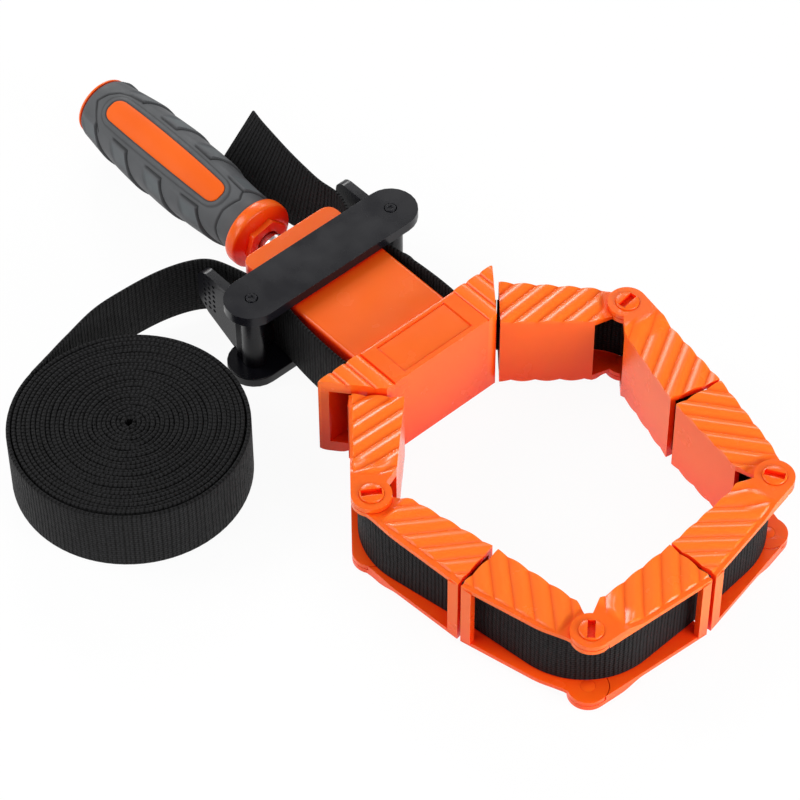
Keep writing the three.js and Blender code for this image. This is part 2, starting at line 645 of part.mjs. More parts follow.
// Jaw arms. Frame: knuckle axis at the origin, +X to the outer end, the clamping face at +Y times hand
const ARM_TOP = ARM_HEIGHT / 2; // above the middle height
const LAP_LOW = ARM_TOP + CLEARANCE;
const LAP_HIGH = LAP_LOW + KNUCKLE_PLATE;
const OUTER_EDGE = HINGE_INSET - ARM_WIDTH;
const PIN_HOLE = PIN_RADIUS + CLEARANCE;

function armOutline(hand) {
  const cornerAngle = Math.atan2(OUTER_EDGE, ARM_REACH);
  const tangent = cornerAngle - Math.acos(KNUCKLE_RADIUS / Math.hypot(OUTER_EDGE, ARM_REACH));
  const ring = arc(0, 0, KNUCKLE_RADIUS, radians(CHAMFER_END), 2 * HALF_TURN + tangent, KNUCKLE_STEPS);
  const wallEnd = ARM_REACH - CLAMP_WALL_LENGTH;
  return mirrored(
    [[ARM_REACH, HINGE_INSET], [wallEnd, HINGE_INSET], ...ring, [ARM_REACH, OUTER_EDGE]],
    hand,
  );
}

function armCavity(hand) {
  const far = ARM_REACH + OVERRUN;
  const near = -KNUCKLE_RADIUS - OVERRUN;
  const wallInside = HINGE_INSET - CLAMP_WALL;
  const wallEnd = ARM_REACH - CLAMP_WALL_LENGTH;
  const postInside = OUTER_EDGE + END_POST;
  const outside = OUTER_EDGE - OVERRUN;
  return prism(mirrored([
    [far, wallInside], [wallEnd, wallInside], [wallEnd, HINGE_INSET + OVERRUN],
    [near, HINGE_INSET + OVERRUN], [near, outside], [ARM_REACH - END_POST_LENGTH, outside],
    [ARM_REACH - END_POST_LENGTH, postInside], [far, postInside],
  ], hand), MID - CHANNEL_HEIGHT / 2, MID + CHANNEL_HEIGHT / 2);
}

// The raised knuckle of the arm that lies outside its mate: a ring and a ramp down to the arm's plate
function raisedKnuckle(outline, level) {
  const rampFrom = KNUCKLE_RADIUS + RAMP_START;
  const rampTo = rampFrom + RAMP_LENGTH;
  const near = -KNUCKLE_RADIUS - OVERRUN;
  const clear = KNUCKLE_RADIUS + CLEARANCE + BITE;
  const side = [
    [near, LAP_LOW], [near, LAP_HIGH], [rampFrom, LAP_HIGH], [rampTo, ARM_TOP],
    [rampTo, ARM_TOP - BITE], [clear, ARM_TOP - BITE], [clear, LAP_LOW],
  ].map(([x, z]) => new THREE.Vector2(x, z));
  const shape = new THREE.Shape(side);
  const geometry = new THREE.ExtrudeGeometry(shape, { depth: 2 * ARM_WIDTH, bevelEnabled: false });
  geometry.translate(0, 0, -ARM_WIDTH);
  geometry.rotateX(QUARTER_TURN);
  const index = level < 0 ? 1 : 0;
  const profile = onTopAndBottom(geometry, 0)[index];
  return profile.intersect(prism(outline, MID - LAP_HIGH - OVERRUN, MID + LAP_HIGH + OVERRUN));
}

function armBody(hand, raised) {
  const outline = armOutline(hand);
  let body = prism(outline, MID - ARM_TOP, MID + ARM_TOP).subtract(armCavity(hand));

  // slanted ribs on the top and bottom plates, leaning toward the knuckle on the way out
  const slant = -radians(RIB_SLANT) * hand;
  const reach = (ARM_REACH + ARM_WIDTH) * Math.SQRT1_2;
  const count = Math.ceil(reach / RIB_PITCH) + 1;
  const ribs = humps(0, count, RIB_PITCH, RIB_HEIGHT, 2 * ARM_REACH, slant);
  const field = prism(mirrored([
    [RIB_START, HINGE_INSET], [ARM_REACH, HINGE_INSET], [ARM_REACH, OUTER_EDGE], [RIB_START, OUTER_EDGE],
  ], hand), -OVERRUN, BODY_HEIGHT + OVERRUN).intersect(prism(outline, -OVERRUN, BODY_HEIGHT + OVERRUN));
  onTopAndBottom(ribs, ARM_TOP).forEach((slab) => {
    body = body.add(slab.intersect(field));
  });

  raised.forEach((level) => {
    const sweep = KNUCKLE_RADIUS + CLEARANCE;
    const inside = CHANNEL_HEIGHT / 2 - OVERRUN;
    const low = level > 0 ? MID + inside : MID - LAP_LOW;
    const high = level > 0 ? MID + LAP_LOW : MID - inside;
    body = body.subtract(post(sweep, 0, 0, low, high, 2 * ROUND_SIDES));
    body = body.add(raisedKnuckle(outline, level));
    const seat = LAP_HIGH - PIN_HEAD_SINK;
    const recessRadius = PIN_HEAD_RADIUS + CLEARANCE;
    const recessLow = level > 0 ? MID + seat : MID - seat - OVERRUN;
    body = body.subtract(post(recessRadius, 0, 0, recessLow, recessLow + OVERRUN, TURNED_SIDES));
  });
  return body.subtract(post(PIN_HOLE, 0, 0, -OVERRUN, BODY_HEIGHT + OVERRUN));
}

// Knuckle pin: slotted head in the raised ring, plain shank through both rings
function knucklePin(level, name, slotAngle) {
  const seat = LAP_HIGH - PIN_HEAD_SINK + CLEARANCE;
  const shankEnd = CHANNEL_HEIGHT / 2 + CLEARANCE;
  const crown = BODY_HEIGHT / 2;
  const geometry = new THREE.LatheGeometry([
    [0, shankEnd], [PIN_RADIUS, shankEnd], [PIN_RADIUS, seat], [PIN_HEAD_RADIUS, seat],
    [PIN_HEAD_RADIUS, crown - PIN_DOME], [PIN_HEAD_RADIUS - PIN_DOME, crown], [0, crown],
  ].map(([radius, z]) => new THREE.Vector2(radius, z)), ROUND_SIDES);
  geometry.rotateX(QUARTER_TURN);
  const slot = new THREE.BoxGeometry(PIN_SLOT_LENGTH, PIN_SLOT_WIDTH, 2 * PIN_SLOT_DEPTH);
  slot.rotateZ(slotAngle);
  slot.translate(0, 0, crown);
  let body = solid(geometry).subtract(solid(slot));
  const placed = geometryOf(body);
  if (level < 0) placed.rotateX(HALF_TURN);
  placed.translate(0, 0, MID);
  return named(placed, name, ORANGE);
}

// Jaw layout: two arms a jaw, strapped to the neighbour across a gap and hinged to each other at the knuckle
const LINK_X = ARM_REACH + JAW_GAP / 2;
const LINK_Y = STRAP_OFFSET - HINGE_INSET;
const LINK_LENGTH = Math.hypot(LINK_X, LINK_Y);
const LINK_ANGLE = Math.atan2(LINK_Y, LINK_X);
const BOTH = [1, -1];

const CHAINS = [
  { hand: 1, seat: MITRE_SEATS.right, jaws: [
    { name: 'rear_right', arms: [['tongue', []], ['fork', BOTH]] },
    { name: 'front_right', arms: [['tongue', []], ['fork', BOTH]] },
  ] },
  { hand: -1, seat: MITRE_SEATS.left, jaws: [
    { name: 'rear_left', arms: [['fork', [1]], ['tongue', [-1]]] },
    { name: 'front_left', arms: [['tongue', []], ['fork', BOTH]] },
  ] },
];

function place(frame, x, y) {
  const [c, s] = [Math.cos(frame.angle), Math.sin(frame.angle)];
  return [frame.x + c * x - s * y, frame.y + s * x + c * y];
}

function mitreFrame({ hand, seat }, turn) {
  const along = [hand * Math.cos(MITRE_ANGLE), Math.sin(MITRE_ANGLE)];
  const out = [hand * Math.sin(MITRE_ANGLE), -Math.cos(MITRE_ANGLE)];
  const reach = seat + STRAP_OFFSET;
  const x = (hand * HEAD_FRONT_WIDTH) / 2 + along[0] * reach + (out[0] * JAW_GAP) / 2;
  const y = HEAD_FRONT + along[1] * reach + (out[1] * JAW_GAP) / 2;
  return { x, y, angle: Math.atan2(out[1], out[0]) - hand * radians(turn) };
}

function knuckleFrame(gapFrame, hand, corner) {
  const [x, y] = place(gapFrame, LINK_X, -hand * LINK_Y);
  return { x, y, angle: gapFrame.angle - hand * (HALF_TURN - radians(corner)) };
}

function gapFrame(knuckle, hand, turn) {
  const [x, y] = place(knuckle, LINK_X, hand * LINK_Y);
  return { x, y, angle: knuckle.angle - hand * radians(turn) };
}

// The two front jaws close the ring: their far ends meet where two circles round the front knuckles cross
function closeRing(right, left) {
  const dx = left.x - right.x;
  const dy = left.y - right.y;
  const apart = Math.hypot(dx, dy);
  const drop = Math.sqrt(LINK_LENGTH ** 2 - (apart / 2) ** 2);
  const below = {
    x: (right.x + left.x) / 2 - (drop * dy) / apart,
    y: (right.y + left.y) / 2 + (drop * dx) / apart,
  };
  right.angle = Math.atan2(below.y - right.y, below.x - right.x) - LINK_ANGLE;
  left.angle = Math.atan2(below.y - left.y, below.x - left.x) + LINK_ANGLE;
}

// Both rear corners open or close together until the front knuckles stand a given distance apart
function chainFrames(chain, opening) {
  const [rear, front] = chain.jaws;
  const rearGap = mitreFrame(chain, JAW_TURNS[rear.name]);
  const rearKnuckle = knuckleFrame(rearGap, chain.hand, REAR_CORNERS[rear.name] + opening);
  const frontGap = gapFrame(rearKnuckle, chain.hand, JAW_TURNS[front.name]);
  return [rearGap, rearKnuckle, frontGap, knuckleFrame(frontGap, chain.hand, 0)];
}

const HALVINGS = 60;
const OPENING_LIMIT_DEG = 90;
function layout() {
  const target = FRONT_SPAN_SHARE * 2 * LINK_LENGTH;
  let [closed, open] = [-OPENING_LIMIT_DEG, OPENING_LIMIT_DEG];
  let frames = [];
  for (let k = 0; k < HALVINGS; k += 1) {
    const middle = (closed + open) / 2;
    frames = CHAINS.map((chain) => chainFrames(chain, middle));
    const [right, left] = [frames[0][3], frames[1][3]];
    if (right.x - left.x < target) closed = middle;
    else open = middle;
  }
  closeRing(frames[0][3], frames[1][3]);
  return frames;
}

// A group whose frame is given in the root's frame, hung in its parent group
function hang(parent, parentFrame, frame, name) {
  const group = new THREE.Group();
  const [dx, dy] = [frame.x - parentFrame.x, frame.y - parentFrame.y];
  const [c, s] = [Math.cos(parentFrame.angle), Math.sin(parentFrame.angle)];
  group.position.set(c * dx + s * dy, c * dy - s * dx, 0);
  group.rotation.z = frame.angle - parentFrame.angle;
  group.name = name;
  parent.add(group);
  return group;
}

// Strap through one jaw, in the frame of the gap that it enters by
function jawStrap(gap, knuckle, hand, name) {
  const half = CLEARANCE / 2;
  const turn = knuckle.angle - gap.angle;
  const localKnuckle = { x: LINK_X, y: -hand * LINK_Y, angle: turn };
  const end = place(localKnuckle, LINK_X - half, hand * LINK_Y);
  // the two straight runs meet at the corner
  const direction = [Math.cos(turn), Math.sin(turn)];
  const run = end[0] - (end[1] * direction[0]) / direction[1];
  return strapMesh(bentPath([half, 0], [run, 0], end, STRAP_BEND), name);
}

function buildJaws(root) {
  const origin = { x: 0, y: 0, angle: 0 };
  layout().forEach((frames, side) => {
    const { hand, jaws } = CHAINS[side];
    let parent = root;
    let parentFrame = origin;
    jaws.forEach(({ name, arms }, k) => {
      const gap = frames[2 * k];
      const knuckle = frames[2 * k + 1];
      const [[firstKind, firstRaised], [secondKind, secondRaised]] = arms;
      const first = hang(parent, parentFrame, gap, `${name}_${firstKind}`);
      const second = hang(first, gap, knuckle, `${name}_${secondKind}`);

      const firstArm = cadMesh(armBody(hand, firstRaised), `${name}_${firstKind}_arm`, ORANGE);
      firstArm.position.set(LINK_X, -hand * LINK_Y, 0);
      firstArm.rotation.z = HALF_TURN;
      first.add(firstArm, jawStrap(gap, knuckle, hand, `strap_${name}`));

      second.add(cadMesh(armBody(-hand, secondRaised), `${name}_${secondKind}_arm`, ORANGE));
      second.add(knucklePin(1, `${name}_top_pin`, hand * radians(RIB_SLANT)));
      second.add(knucklePin(-1, `${name}_bottom_pin`, 0));
      parent = second;
      parentFrame = knuckle;
    });
  });
}

// Strap between the head's mitred ends and the yoke
function headStrap(side, name) {
  const frame = mitreFrame(CHAINS[side], 0);
  const { hand } = CHAINS[side];
  const half = CLEARANCE / 2;
  const out = [Math.cos(frame.angle), Math.sin(frame.angle)];
  const line = hand * GATE_X;
  const back = (line - frame.x) / out[0];
  const corner = [line, frame.y + out[1] * back];
  const end = [frame.x - out[0] * half, frame.y - out[1] * half];
  return strapMesh(bentPath([line, HEAD_BACK + half], corner, end, HEAD_STRAP_BEND), name);
}

const GATE_X = GUIDE_WIDTH / 2 + CLEARANCE + STRAP_GATE / 2;
function strapRun(hand, name) {
  const half = CLEARANCE / 2;
  const front = HEAD_BACK + CLEARANCE + half;
  return strapMesh([[hand * GATE_X, front], [hand * RUN_X, PIN_LINE - half]], name);
}

// Free strap: hand-chosen points [out, back, base height, share of the tail's lean].
// Out and back are measured from the strap at the lever pins.
function freeStrap(side, points, ending, name) {
  const start = [[0, CLEARANCE, STRAP_BASE, 0], ...points].map(([out, rear, base, leanShare]) => {
    return [side * (RUN_X + out), PIN_LINE + rear, base, radians(leanShare * TAIL_LEAN_DEG)];
  });
  const route = [...start, ...ending];
  const nodes = route.map(([x, y, z]) => new THREE.Vector3(x, y, z));
  const curve = new THREE.CatmullRomCurve3(nodes, false, 'centripetal');
  const leans = route.map((point) => point[3]);
  const path = curve.getPoints(LEAD_STEPS).map((p, k) => {
    const at = (k / LEAD_STEPS) * (leans.length - 1);
    const below = Math.min(Math.floor(at), leans.length - 2);
    const lean = leans[below] + (leans[below + 1] - leans[below]) * (at - below);
    return [p.x, p.y, Math.max(p.z, 0), lean];
  });
  return named(ribbon(path, STRAP_THICKNESS, STRAP_WIDTH), name, WEBBING);
}

const COIL_CENTRE = [-PIN_X - COIL_SPACING, PIN_LINE - COIL_ADVANCE];
function coilPoint(turns) {
  const angle = radians(COIL_START_DEG) + 2 * HALF_TURN * turns;
  const radius = COIL_RADIUS - COIL_PITCH * turns;
  return [COIL_CENTRE[0] + radius * Math.cos(angle), COIL_CENTRE[1] + radius * Math.sin(angle), 0];
}

function leadStrap() {
  const heading = radians(COIL_START_DEG) + QUARTER_TURN;
  const [endX, endY] = coilPoint(0);
  const back = (reach) => [endX - reach * Math.cos(heading), endY - reach * Math.sin(heading), 0, 0];
  return freeStrap(-1, [
    [0, 8.5, STRAP_BASE, 0], [2, 17.5, STRAP_BASE, 0], [5.6, 27, 5, 0], [11.8, 32.2, 4.4, 0],
    [22, 36.3, 3.2, 0], [35, 38.5, 2, 0], [48, 39.1, 1, 0],
  ], [back(20), back(10), back(CLEARANCE)], 'strap_lead');
}

function tailStrap() {
  return freeStrap(1, [
    [0, 8.5, STRAP_BASE, 0], [2.6, 15.5, STRAP_BASE, 0], [4.3, 22, STRAP_BASE, 0.1],
    [3.7, 31, STRAP_BASE, 0.3], [4.3, 40, STRAP_BASE, 0.5], [5.4, 50, STRAP_BASE, 0.7],
    [6.9, 60, STRAP_BASE, 0.85], [8.2, 68, STRAP_BASE, 0.95], [9.4, 73.3, STRAP_BASE, 1],
  ], [], 'strap_tail');
}

function coil() {
  const steps = COIL_LOOPS * COIL_STEPS;
  const path = Array.from({ length: steps + 1 }, (_, k) => coilPoint(k / COIL_STEPS));
  let least = Infinity;
  for (let k = 0; k + COIL_STEPS < path.length - 1; k += 1) {
    const a = path[k + COIL_STEPS];
    const b = path[k + COIL_STEPS + 1];
    const length = Math.hypot(b[0] - a[0], b[1] - a[1]);
    const across = Math.abs((b[0] - a[0]) * (a[1] - path[k][1]) - (a[0] - path[k][0]) * (b[1] - a[1]));
    least = Math.min(least, across / length - COIL_THICKNESS);
  }
  console.log(`least gap between the coil's loops: ${least.toFixed(3)} mm`);
  return named(ribbon(path, COIL_THICKNESS, STRAP_WIDTH), 'strap_coil', WEBBING);
}

// Assembly: nested groups follow the joints
const clamp = new THREE.Group();
clamp.name = 'head';
clamp.add(head(), spindleNut(), headStrap(0, 'strap_head_right'), headStrap(1, 'strap_head_left'));

const yoke = new THREE.Group();
yoke.name = 'yoke';
yoke.add(sliderBlock(), ...yokePlates(), leverPin(1, 'lever_pin_right'), leverPin(-1, 'lever_pin_left'));
yoke.add(strapRun(1, 'strap_run_right'), strapRun(-1, 'strap_run_left'), leadStrap(), tailStrap(), coil());
clamp.add(yoke);

const levers = { lever_right: 1, lever_left: -1 };
Object.entries(levers).forEach(([name, side]) => {
  const group = new THREE.Group();
  group.name = name;
  group.position.set(side * PIN_X, PIN_LINE, 0);
  group.add(camLever(side, side > 0 ? 'cam_lever_right' : 'cam_lever_left'));
  yoke.add(group);
});

// The handle and its screw, turned together about the spindle's axis to where they stand at rest
const handle = new THREE.Group();
handle.name = 'handle';
const ringInner = SPINDLE_RADIUS - RING_GROOVE_DEPTH + CLEARANCE;
const pinSolid = handlePinSolid(HANDLE_PIN_RADIUS, HANDLE_CORE_RADIUS - BITE);
[
  spindle(), handleCore(), handleGrip(), cadMesh(pinSolid, 'handle_pin', STEEL),
  turnedRing(ringInner + RING_WIDTH, ringInner, RING_FRONT, RING_BACK, 'retaining_ring'),
].forEach((mesh) => {
  mesh.geometry.translate(0, 0, -MID).rotateY(radians(HANDLE_TURN_DEG)).translate(0, 0, MID);
  handle.add(mesh);
});
yoke.add(handle);
const washerBack = WASHER_FRONT + WASHER_THICKNESS;
yoke.add(turnedRing(WASHER_RADIUS, SPINDLE_RADIUS + CLEARANCE, WASHER_FRONT, washerBack, 'thrust_washer'));

buildJaws(clamp);

export default clamp;
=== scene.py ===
import json
import math
import bpy
import bmesh
import numpy as np
from mathutils import Matrix, Vector


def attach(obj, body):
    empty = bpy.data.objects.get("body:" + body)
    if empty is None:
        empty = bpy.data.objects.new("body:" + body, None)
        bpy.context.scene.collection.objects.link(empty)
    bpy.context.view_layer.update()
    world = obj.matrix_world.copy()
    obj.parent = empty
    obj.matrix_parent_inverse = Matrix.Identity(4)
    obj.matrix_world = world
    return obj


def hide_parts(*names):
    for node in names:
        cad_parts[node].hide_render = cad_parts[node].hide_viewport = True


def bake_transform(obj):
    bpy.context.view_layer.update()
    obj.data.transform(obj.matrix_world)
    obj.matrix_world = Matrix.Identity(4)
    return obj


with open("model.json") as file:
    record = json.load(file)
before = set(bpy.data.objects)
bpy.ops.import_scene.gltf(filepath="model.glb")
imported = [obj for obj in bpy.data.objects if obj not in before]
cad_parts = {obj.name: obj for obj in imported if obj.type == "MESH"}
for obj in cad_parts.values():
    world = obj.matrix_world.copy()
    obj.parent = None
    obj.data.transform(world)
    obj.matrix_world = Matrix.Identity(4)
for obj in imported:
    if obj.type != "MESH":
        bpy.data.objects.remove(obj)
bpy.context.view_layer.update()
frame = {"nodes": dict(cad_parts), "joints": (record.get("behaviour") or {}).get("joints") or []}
JOINTS = {joint["name"]: joint for joint in frame["joints"]}
MM = 0.001
MID = 17.6

# Camera
AZIMUTH, ELEVATION, ROLL = (math.radians(a) for a in (-41.72, 49.0, -0.38))
TARGET = Vector((-4.76, 7.16, 0)) * MM
DISTANCE = 1.16843
FOCAL_PIXELS, IMAGE_PIXELS, SENSOR = 3380.56, 800, 36
back = Vector((math.sin(AZIMUTH) * math.cos(ELEVATION), -math.cos(AZIMUTH) * math.cos(ELEVATION),
               math.sin(ELEVATION)))
right = Vector((math.cos(AZIMUTH), math.sin(AZIMUTH), 0))
up = back.cross(right)
side = right * math.cos(ROLL) + up * math.sin(ROLL)
top = up * math.cos(ROLL) - right * math.sin(ROLL)
camera_data = bpy.data.cameras.new("camera")
camera_data.sensor_width = SENSOR
camera_data.sensor_fit = "HORIZONTAL"
camera_data.lens = FOCAL_PIXELS / IMAGE_PIXELS * SENSOR
camera_data.clip_end = 20
camera = bpy.data.objects.new("camera", camera_data)
bpy.context.scene.collection.objects.link(camera)
aim = Matrix((side, top, back)).transposed().to_4x4()
camera.matrix_world = Matrix.Translation(TARGET + back * DISTANCE) @ aim
bpy.context.scene.camera = camera


# Materials
class Nodes:
    def __init__(self, name):
        self.material = bpy.data.materials.new(name)
        self.material.use_nodes = True
        self.tree = self.material.node_tree
        self.tree.nodes.clear()
        self.output = self.tree.nodes.new("ShaderNodeOutputMaterial")

    def add(self, kind, inputs=None, **settings):
        node = self.tree.nodes.new(kind)
        for key, value in settings.items():
            setattr(node, key, value)
        for key, value in (inputs or {}).items():
            if isinstance(value, bpy.types.NodeSocket):
                self.tree.links.new(value, node.inputs[key])
            else:
                node.inputs[key].default_value = value
        return node

    def math(self, operation, a, b=0.0):
        return self.add("ShaderNodeMath", {0: a, 1: b}, operation=operation).outputs[0]

    def noise(self, scale, detail=3.0, source=None):
        where = source or self.add("ShaderNodeTexCoord").outputs["Object"]
        return self.add("ShaderNodeTexNoise", {"Vector": where, "Scale": scale, "Detail": detail}).outputs["Fac"]

    def ramp(self, factor, stops):
        node = self.add("ShaderNodeValToRGB", {"Fac": factor})
        elements = node.color_ramp.elements
        while len(elements) < len(stops):
            elements.new(0.5)
        for element, (position, color) in zip(elements, stops):
            element.position = position
            element.color = (*color, 1)
        return node.outputs["Color"]

    def mix(self, factor, a, b):
        return self.add("ShaderNodeMix", {0: factor, 6: a, 7: b}, data_type="RGBA").outputs[2]

    def finish(self, shader):
        self.tree.links.new(shader, self.output.inputs["Surface"])
        return self.material


def grey(level):
    return (level, level, level)


def plastic(name, low, high, rough=(0.36, 0.46), bump=0.05, specular=0.35, subsurface=0.0, painted_shade=None, painted_highlight=None):
    """Moulded plastic: faint flow marks in the colour, a fine grain, and gloss that varies with handling.
    A painted shade colour, if given, goes into corners and slots where ambient occlusion finds them, redder,
    as in plastic that lets some light through. A painted highlight colour, if given, goes onto the crests of ribs,
    where the mesh marks them."""
    n = Nodes(name)
    colour = n.ramp(n.noise(28, 4), [(0.35, low), (0.7, high)])
    if painted_highlight:
        # Painted highlight: the pale colour goes onto the rib crests that the tone attribute marks.
        tone = n.add("ShaderNodeAttribute", attribute_name="tone").outputs["Color"]
        marks = n.add("ShaderNodeSeparateColor", {0: tone})
        colour = n.mix(n.ramp(marks.outputs[0], [(0.05, grey(0.0)), (0.55, grey(1.0))]), colour, (*painted_highlight, 1))
    # Painted shade: the deep colour goes where ambient occlusion finds corners and slots.
    if painted_shade:
        open_air = n.add("ShaderNodeAmbientOcclusion", {"Distance": 0.03}, samples=6).outputs["AO"]
        colour = n.mix(n.ramp(open_air, [(0.25, grey(1.0)), (0.78, grey(0.0))]), colour, (*painted_shade, 1))
    gloss = n.ramp(n.noise(90, 5), [(0.35, grey(rough[0])), (0.7, grey(rough[1]))])
    height = n.math("ADD", n.math("MULTIPLY", n.noise(900, 2), 0.12), n.noise(60, 2))
    relief = n.add("ShaderNodeBump", {"Height": height, "Strength": bump, "Distance": 0.0006})
    shader = n.add("ShaderNodeBsdfPrincipled", {
        "Base Color": colour, "Roughness": gloss, "Normal": relief.outputs["Normal"],
        "IOR": 1.49, "Specular IOR Level": specular,
        "Subsurface Weight": subsurface, "Subsurface Radius": (0.004, 0.0012, 0.0005), "Subsurface Scale": 0.6,
    })
    return n.finish(shader.outputs[0])


def steel(name):
    n = Nodes(name)
    where = n.add("ShaderNodeTexCoord").outputs["Object"]
    lines = n.add("ShaderNodeMapping", {"Vector": where, "Scale": (60, 900, 60)}).outputs[0]
    brushed = n.noise(1.0, 4, lines)
    gloss = n.ramp(brushed, [(0.3, grey(0.22)), (0.75, grey(0.36))])
    colour = n.ramp(n.noise(140, 3), [(0.3, (0.66, 0.66, 0.67)), (0.7, (0.8, 0.8, 0.81))])
    relief = n.add("ShaderNodeBump", {"Height": brushed, "Strength": 0.15, "Distance": 0.0002})
    shader = n.add("ShaderNodeBsdfPrincipled", {
        "Base Color": colour, "Roughness": gloss, "Metallic": 1.0, "Normal": relief.outputs["Normal"]})
    return n.finish(shader.outputs[0])


def rubber(name):
    """Soft grip: lighter bluish facets, and dark lines of painted shade in the grooves."""
    n = Nodes(name)
    marks = n.add("ShaderNodeSeparateColor", {0: n.add("ShaderNodeAttribute", attribute_name="tone").outputs["Color"]})
    shade = n.math("ADD", n.math("MULTIPLY", n.noise(35, 5), 0.7), n.math("MULTIPLY", marks.outputs[0], 0.35))
    colour = n.ramp(shade, [(0.2, (0.066, 0.069, 0.073)), (0.5, (0.088, 0.091, 0.097)), (0.85, (0.098, 0.114, 0.12))])
    # Painted shade: the grooves, the inlay's border and its seam are darkened toward black.
    colour = n.mix(n.math("MULTIPLY", marks.outputs[1], 0.95), colour, (0.006, 0.006, 0.007, 1))
    gloss = n.ramp(n.noise(220, 4), [(0.3, grey(0.52)), (0.7, grey(0.66))])
    height = n.math("ADD", n.noise(2600, 2), n.math("MULTIPLY", n.noise(500, 3), 0.6))
    relief = n.add("ShaderNodeBump", {"Height": height, "Strength": 0.1, "Distance": 0.0004})
    shader = n.add("ShaderNodeBsdfPrincipled", {
        "Base Color": colour, "Roughness": gloss, "Normal": relief.outputs["Normal"], "Specular IOR Level": 0.35})
    return n.finish(shader.outputs[0])


RIB_SPACING, YARN_SPACING = 0.00155, 0.00105


def webbing_material(name):
    """Woven strap: cross ribs, with staggered yarns over them. U runs along the strap, V across it, in metres."""
    n = Nodes(name)
    uv = n.add("ShaderNodeSeparateXYZ", {"Vector": n.add("ShaderNodeTexCoord").outputs["UV"]}).outputs
    wander = n.math("MULTIPLY", n.math("SUBTRACT", n.noise(45, 2), 0.5), 0.9)
    along = n.math("ADD", n.math("MULTIPLY", uv["X"], 1 / RIB_SPACING), wander)
    across = n.math("MULTIPLY", uv["Y"], 1 / YARN_SPACING)
    pair = n.math("ABSOLUTE", n.math("SINE", n.math("MULTIPLY", along, math.pi / 2)))
    stagger = n.math("MULTIPLY", n.math("MODULO", n.math("FLOOR", across), 2.0), 0.5)
    rib = n.math("ABSOLUTE", n.math("SINE", n.math("MULTIPLY", along, math.pi)))
    brick = n.math("ABSOLUTE", n.math("SINE", n.math("MULTIPLY", n.math("ADD", along, stagger), math.pi)))
    yarn = n.math("ABSOLUTE", n.math("SINE", n.math("MULTIPLY", across, math.pi)))
    weave = n.math("MULTIPLY", n.math("POWER", brick, 0.7), n.math("POWER", yarn, 0.6))
    ribs = n.math("ADD", n.math("MULTIPLY", rib, 0.8), n.math("MULTIPLY", pair, 0.3))
    height = n.math("ADD", ribs, n.math("MULTIPLY", weave, 0.45))
    fibre = n.math("ADD", height, n.math("MULTIPLY", n.noise(4200, 2), 0.35))
    # Partly painted shade: the hollows of the weave are darker and the raised yarns lighter; the noise adds random
    # tone.
    weave_shade_and_tone = n.math("ADD", n.math("MULTIPLY", height, 0.8), n.math("MULTIPLY", n.noise(120, 4), 0.4))
    colour = n.ramp(weave_shade_and_tone, [(0.35, grey(0.001)), (0.85, (0.0042, 0.0041, 0.0042)), (1.0, (0.012, 0.012, 0.0128))])
    relief = n.add("ShaderNodeBump", {"Height": fibre, "Strength": 1.0, "Distance": 0.00042})
    gloss = n.ramp(n.noise(700, 3), [(0.3, grey(0.56)), (0.7, grey(0.72))])
    shader = n.add("ShaderNodeBsdfPrincipled", {
        "Base Color": colour, "Roughness": gloss, "Normal": relief.outputs["Normal"],
        "Specular IOR Level": 0.12, "Sheen Weight": 0.012, "Sheen Roughness": 0.4})
    return n.finish(shader.outputs[0])


# The deep colour is painted shade in corners and slots; the pale colour is a painted highlight on rib crests.
ORANGE = plastic("orange_plastic", (0.84, 0.118, 0.006), (0.89, 0.136, 0.008), (0.22, 0.29), 0.03, 0.3, 0.25,
                 painted_shade=(0.97, 0.02, 0.003), painted_highlight=(0.93, 0.168, 0.013))
INLAY = plastic("orange_inlay", (0.82, 0.112, 0.006), (0.87, 0.13, 0.008), (0.5, 0.6), 0.03, 0.16)
BLACK = plastic("black_plastic", (0.0042, 0.0042, 0.0062), (0.0075, 0.0075, 0.0102), (0.24, 0.33), 0.04, 0.24)
GREY = rubber("grey_rubber")
STEEL = steel("steel")
WEBBING = webbing_material("strap_webbing")


# Mesh helpers; shapes are built in millimetres
def mesh_object(name, bm_or_data):
    mesh = bpy.data.meshes.new(name)
    if isinstance(bm_or_data, bmesh.types.BMesh):
        bm_or_data.to_mesh(mesh)
        bm_or_data.free()
    else:
        verts, faces = bm_or_data
        mesh.from_pydata([tuple(v) for v in verts], [], faces)
        mesh.update()
    obj = bpy.data.objects.new(name, mesh)
    bpy.context.scene.collection.objects.link(obj)
    return obj


def dress(obj, material, body, nodes=(), bevel=0.0, segments=2, angle=40, weighted=True):
    """Scales a finished shape to metres, shades it, and hangs it on its body, if it has one."""
    obj.data.transform(Matrix.Scale(MM, 4))
    obj.data.materials.clear()
    obj.data.materials.append(material)
    shade(obj, bevel, segments, angle, weighted)
    if body:
        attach(obj, body)
    if nodes:
        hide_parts(*nodes)
    return obj


def shade(obj, bevel=0.0, segments=2, angle=40, weighted=True):
    for polygon in obj.data.polygons:
        polygon.use_smooth = True
    if bevel:
        mod = obj.modifiers.new("edges", "BEVEL")
        mod.width = bevel * MM
        mod.segments = segments
        mod.limit_method = "ANGLE"
        mod.angle_limit = math.radians(angle)
        mod.use_clamp_overlap = True
        mod.harden_normals = False
    if weighted:
        mod = obj.modifiers.new("normals", "WEIGHTED_NORMAL")
        mod.weight = 60
        mod.keep_sharp = False


def bake(obj):
    """Replaces the mesh with what its modifiers make of it."""
    graph = bpy.context.evaluated_depsgraph_get()
    graph.update()
    mesh = bpy.data.meshes.new_from_object(obj.evaluated_get(graph))
    obj.modifiers.clear()
    obj.data = mesh


WELD = 0.002


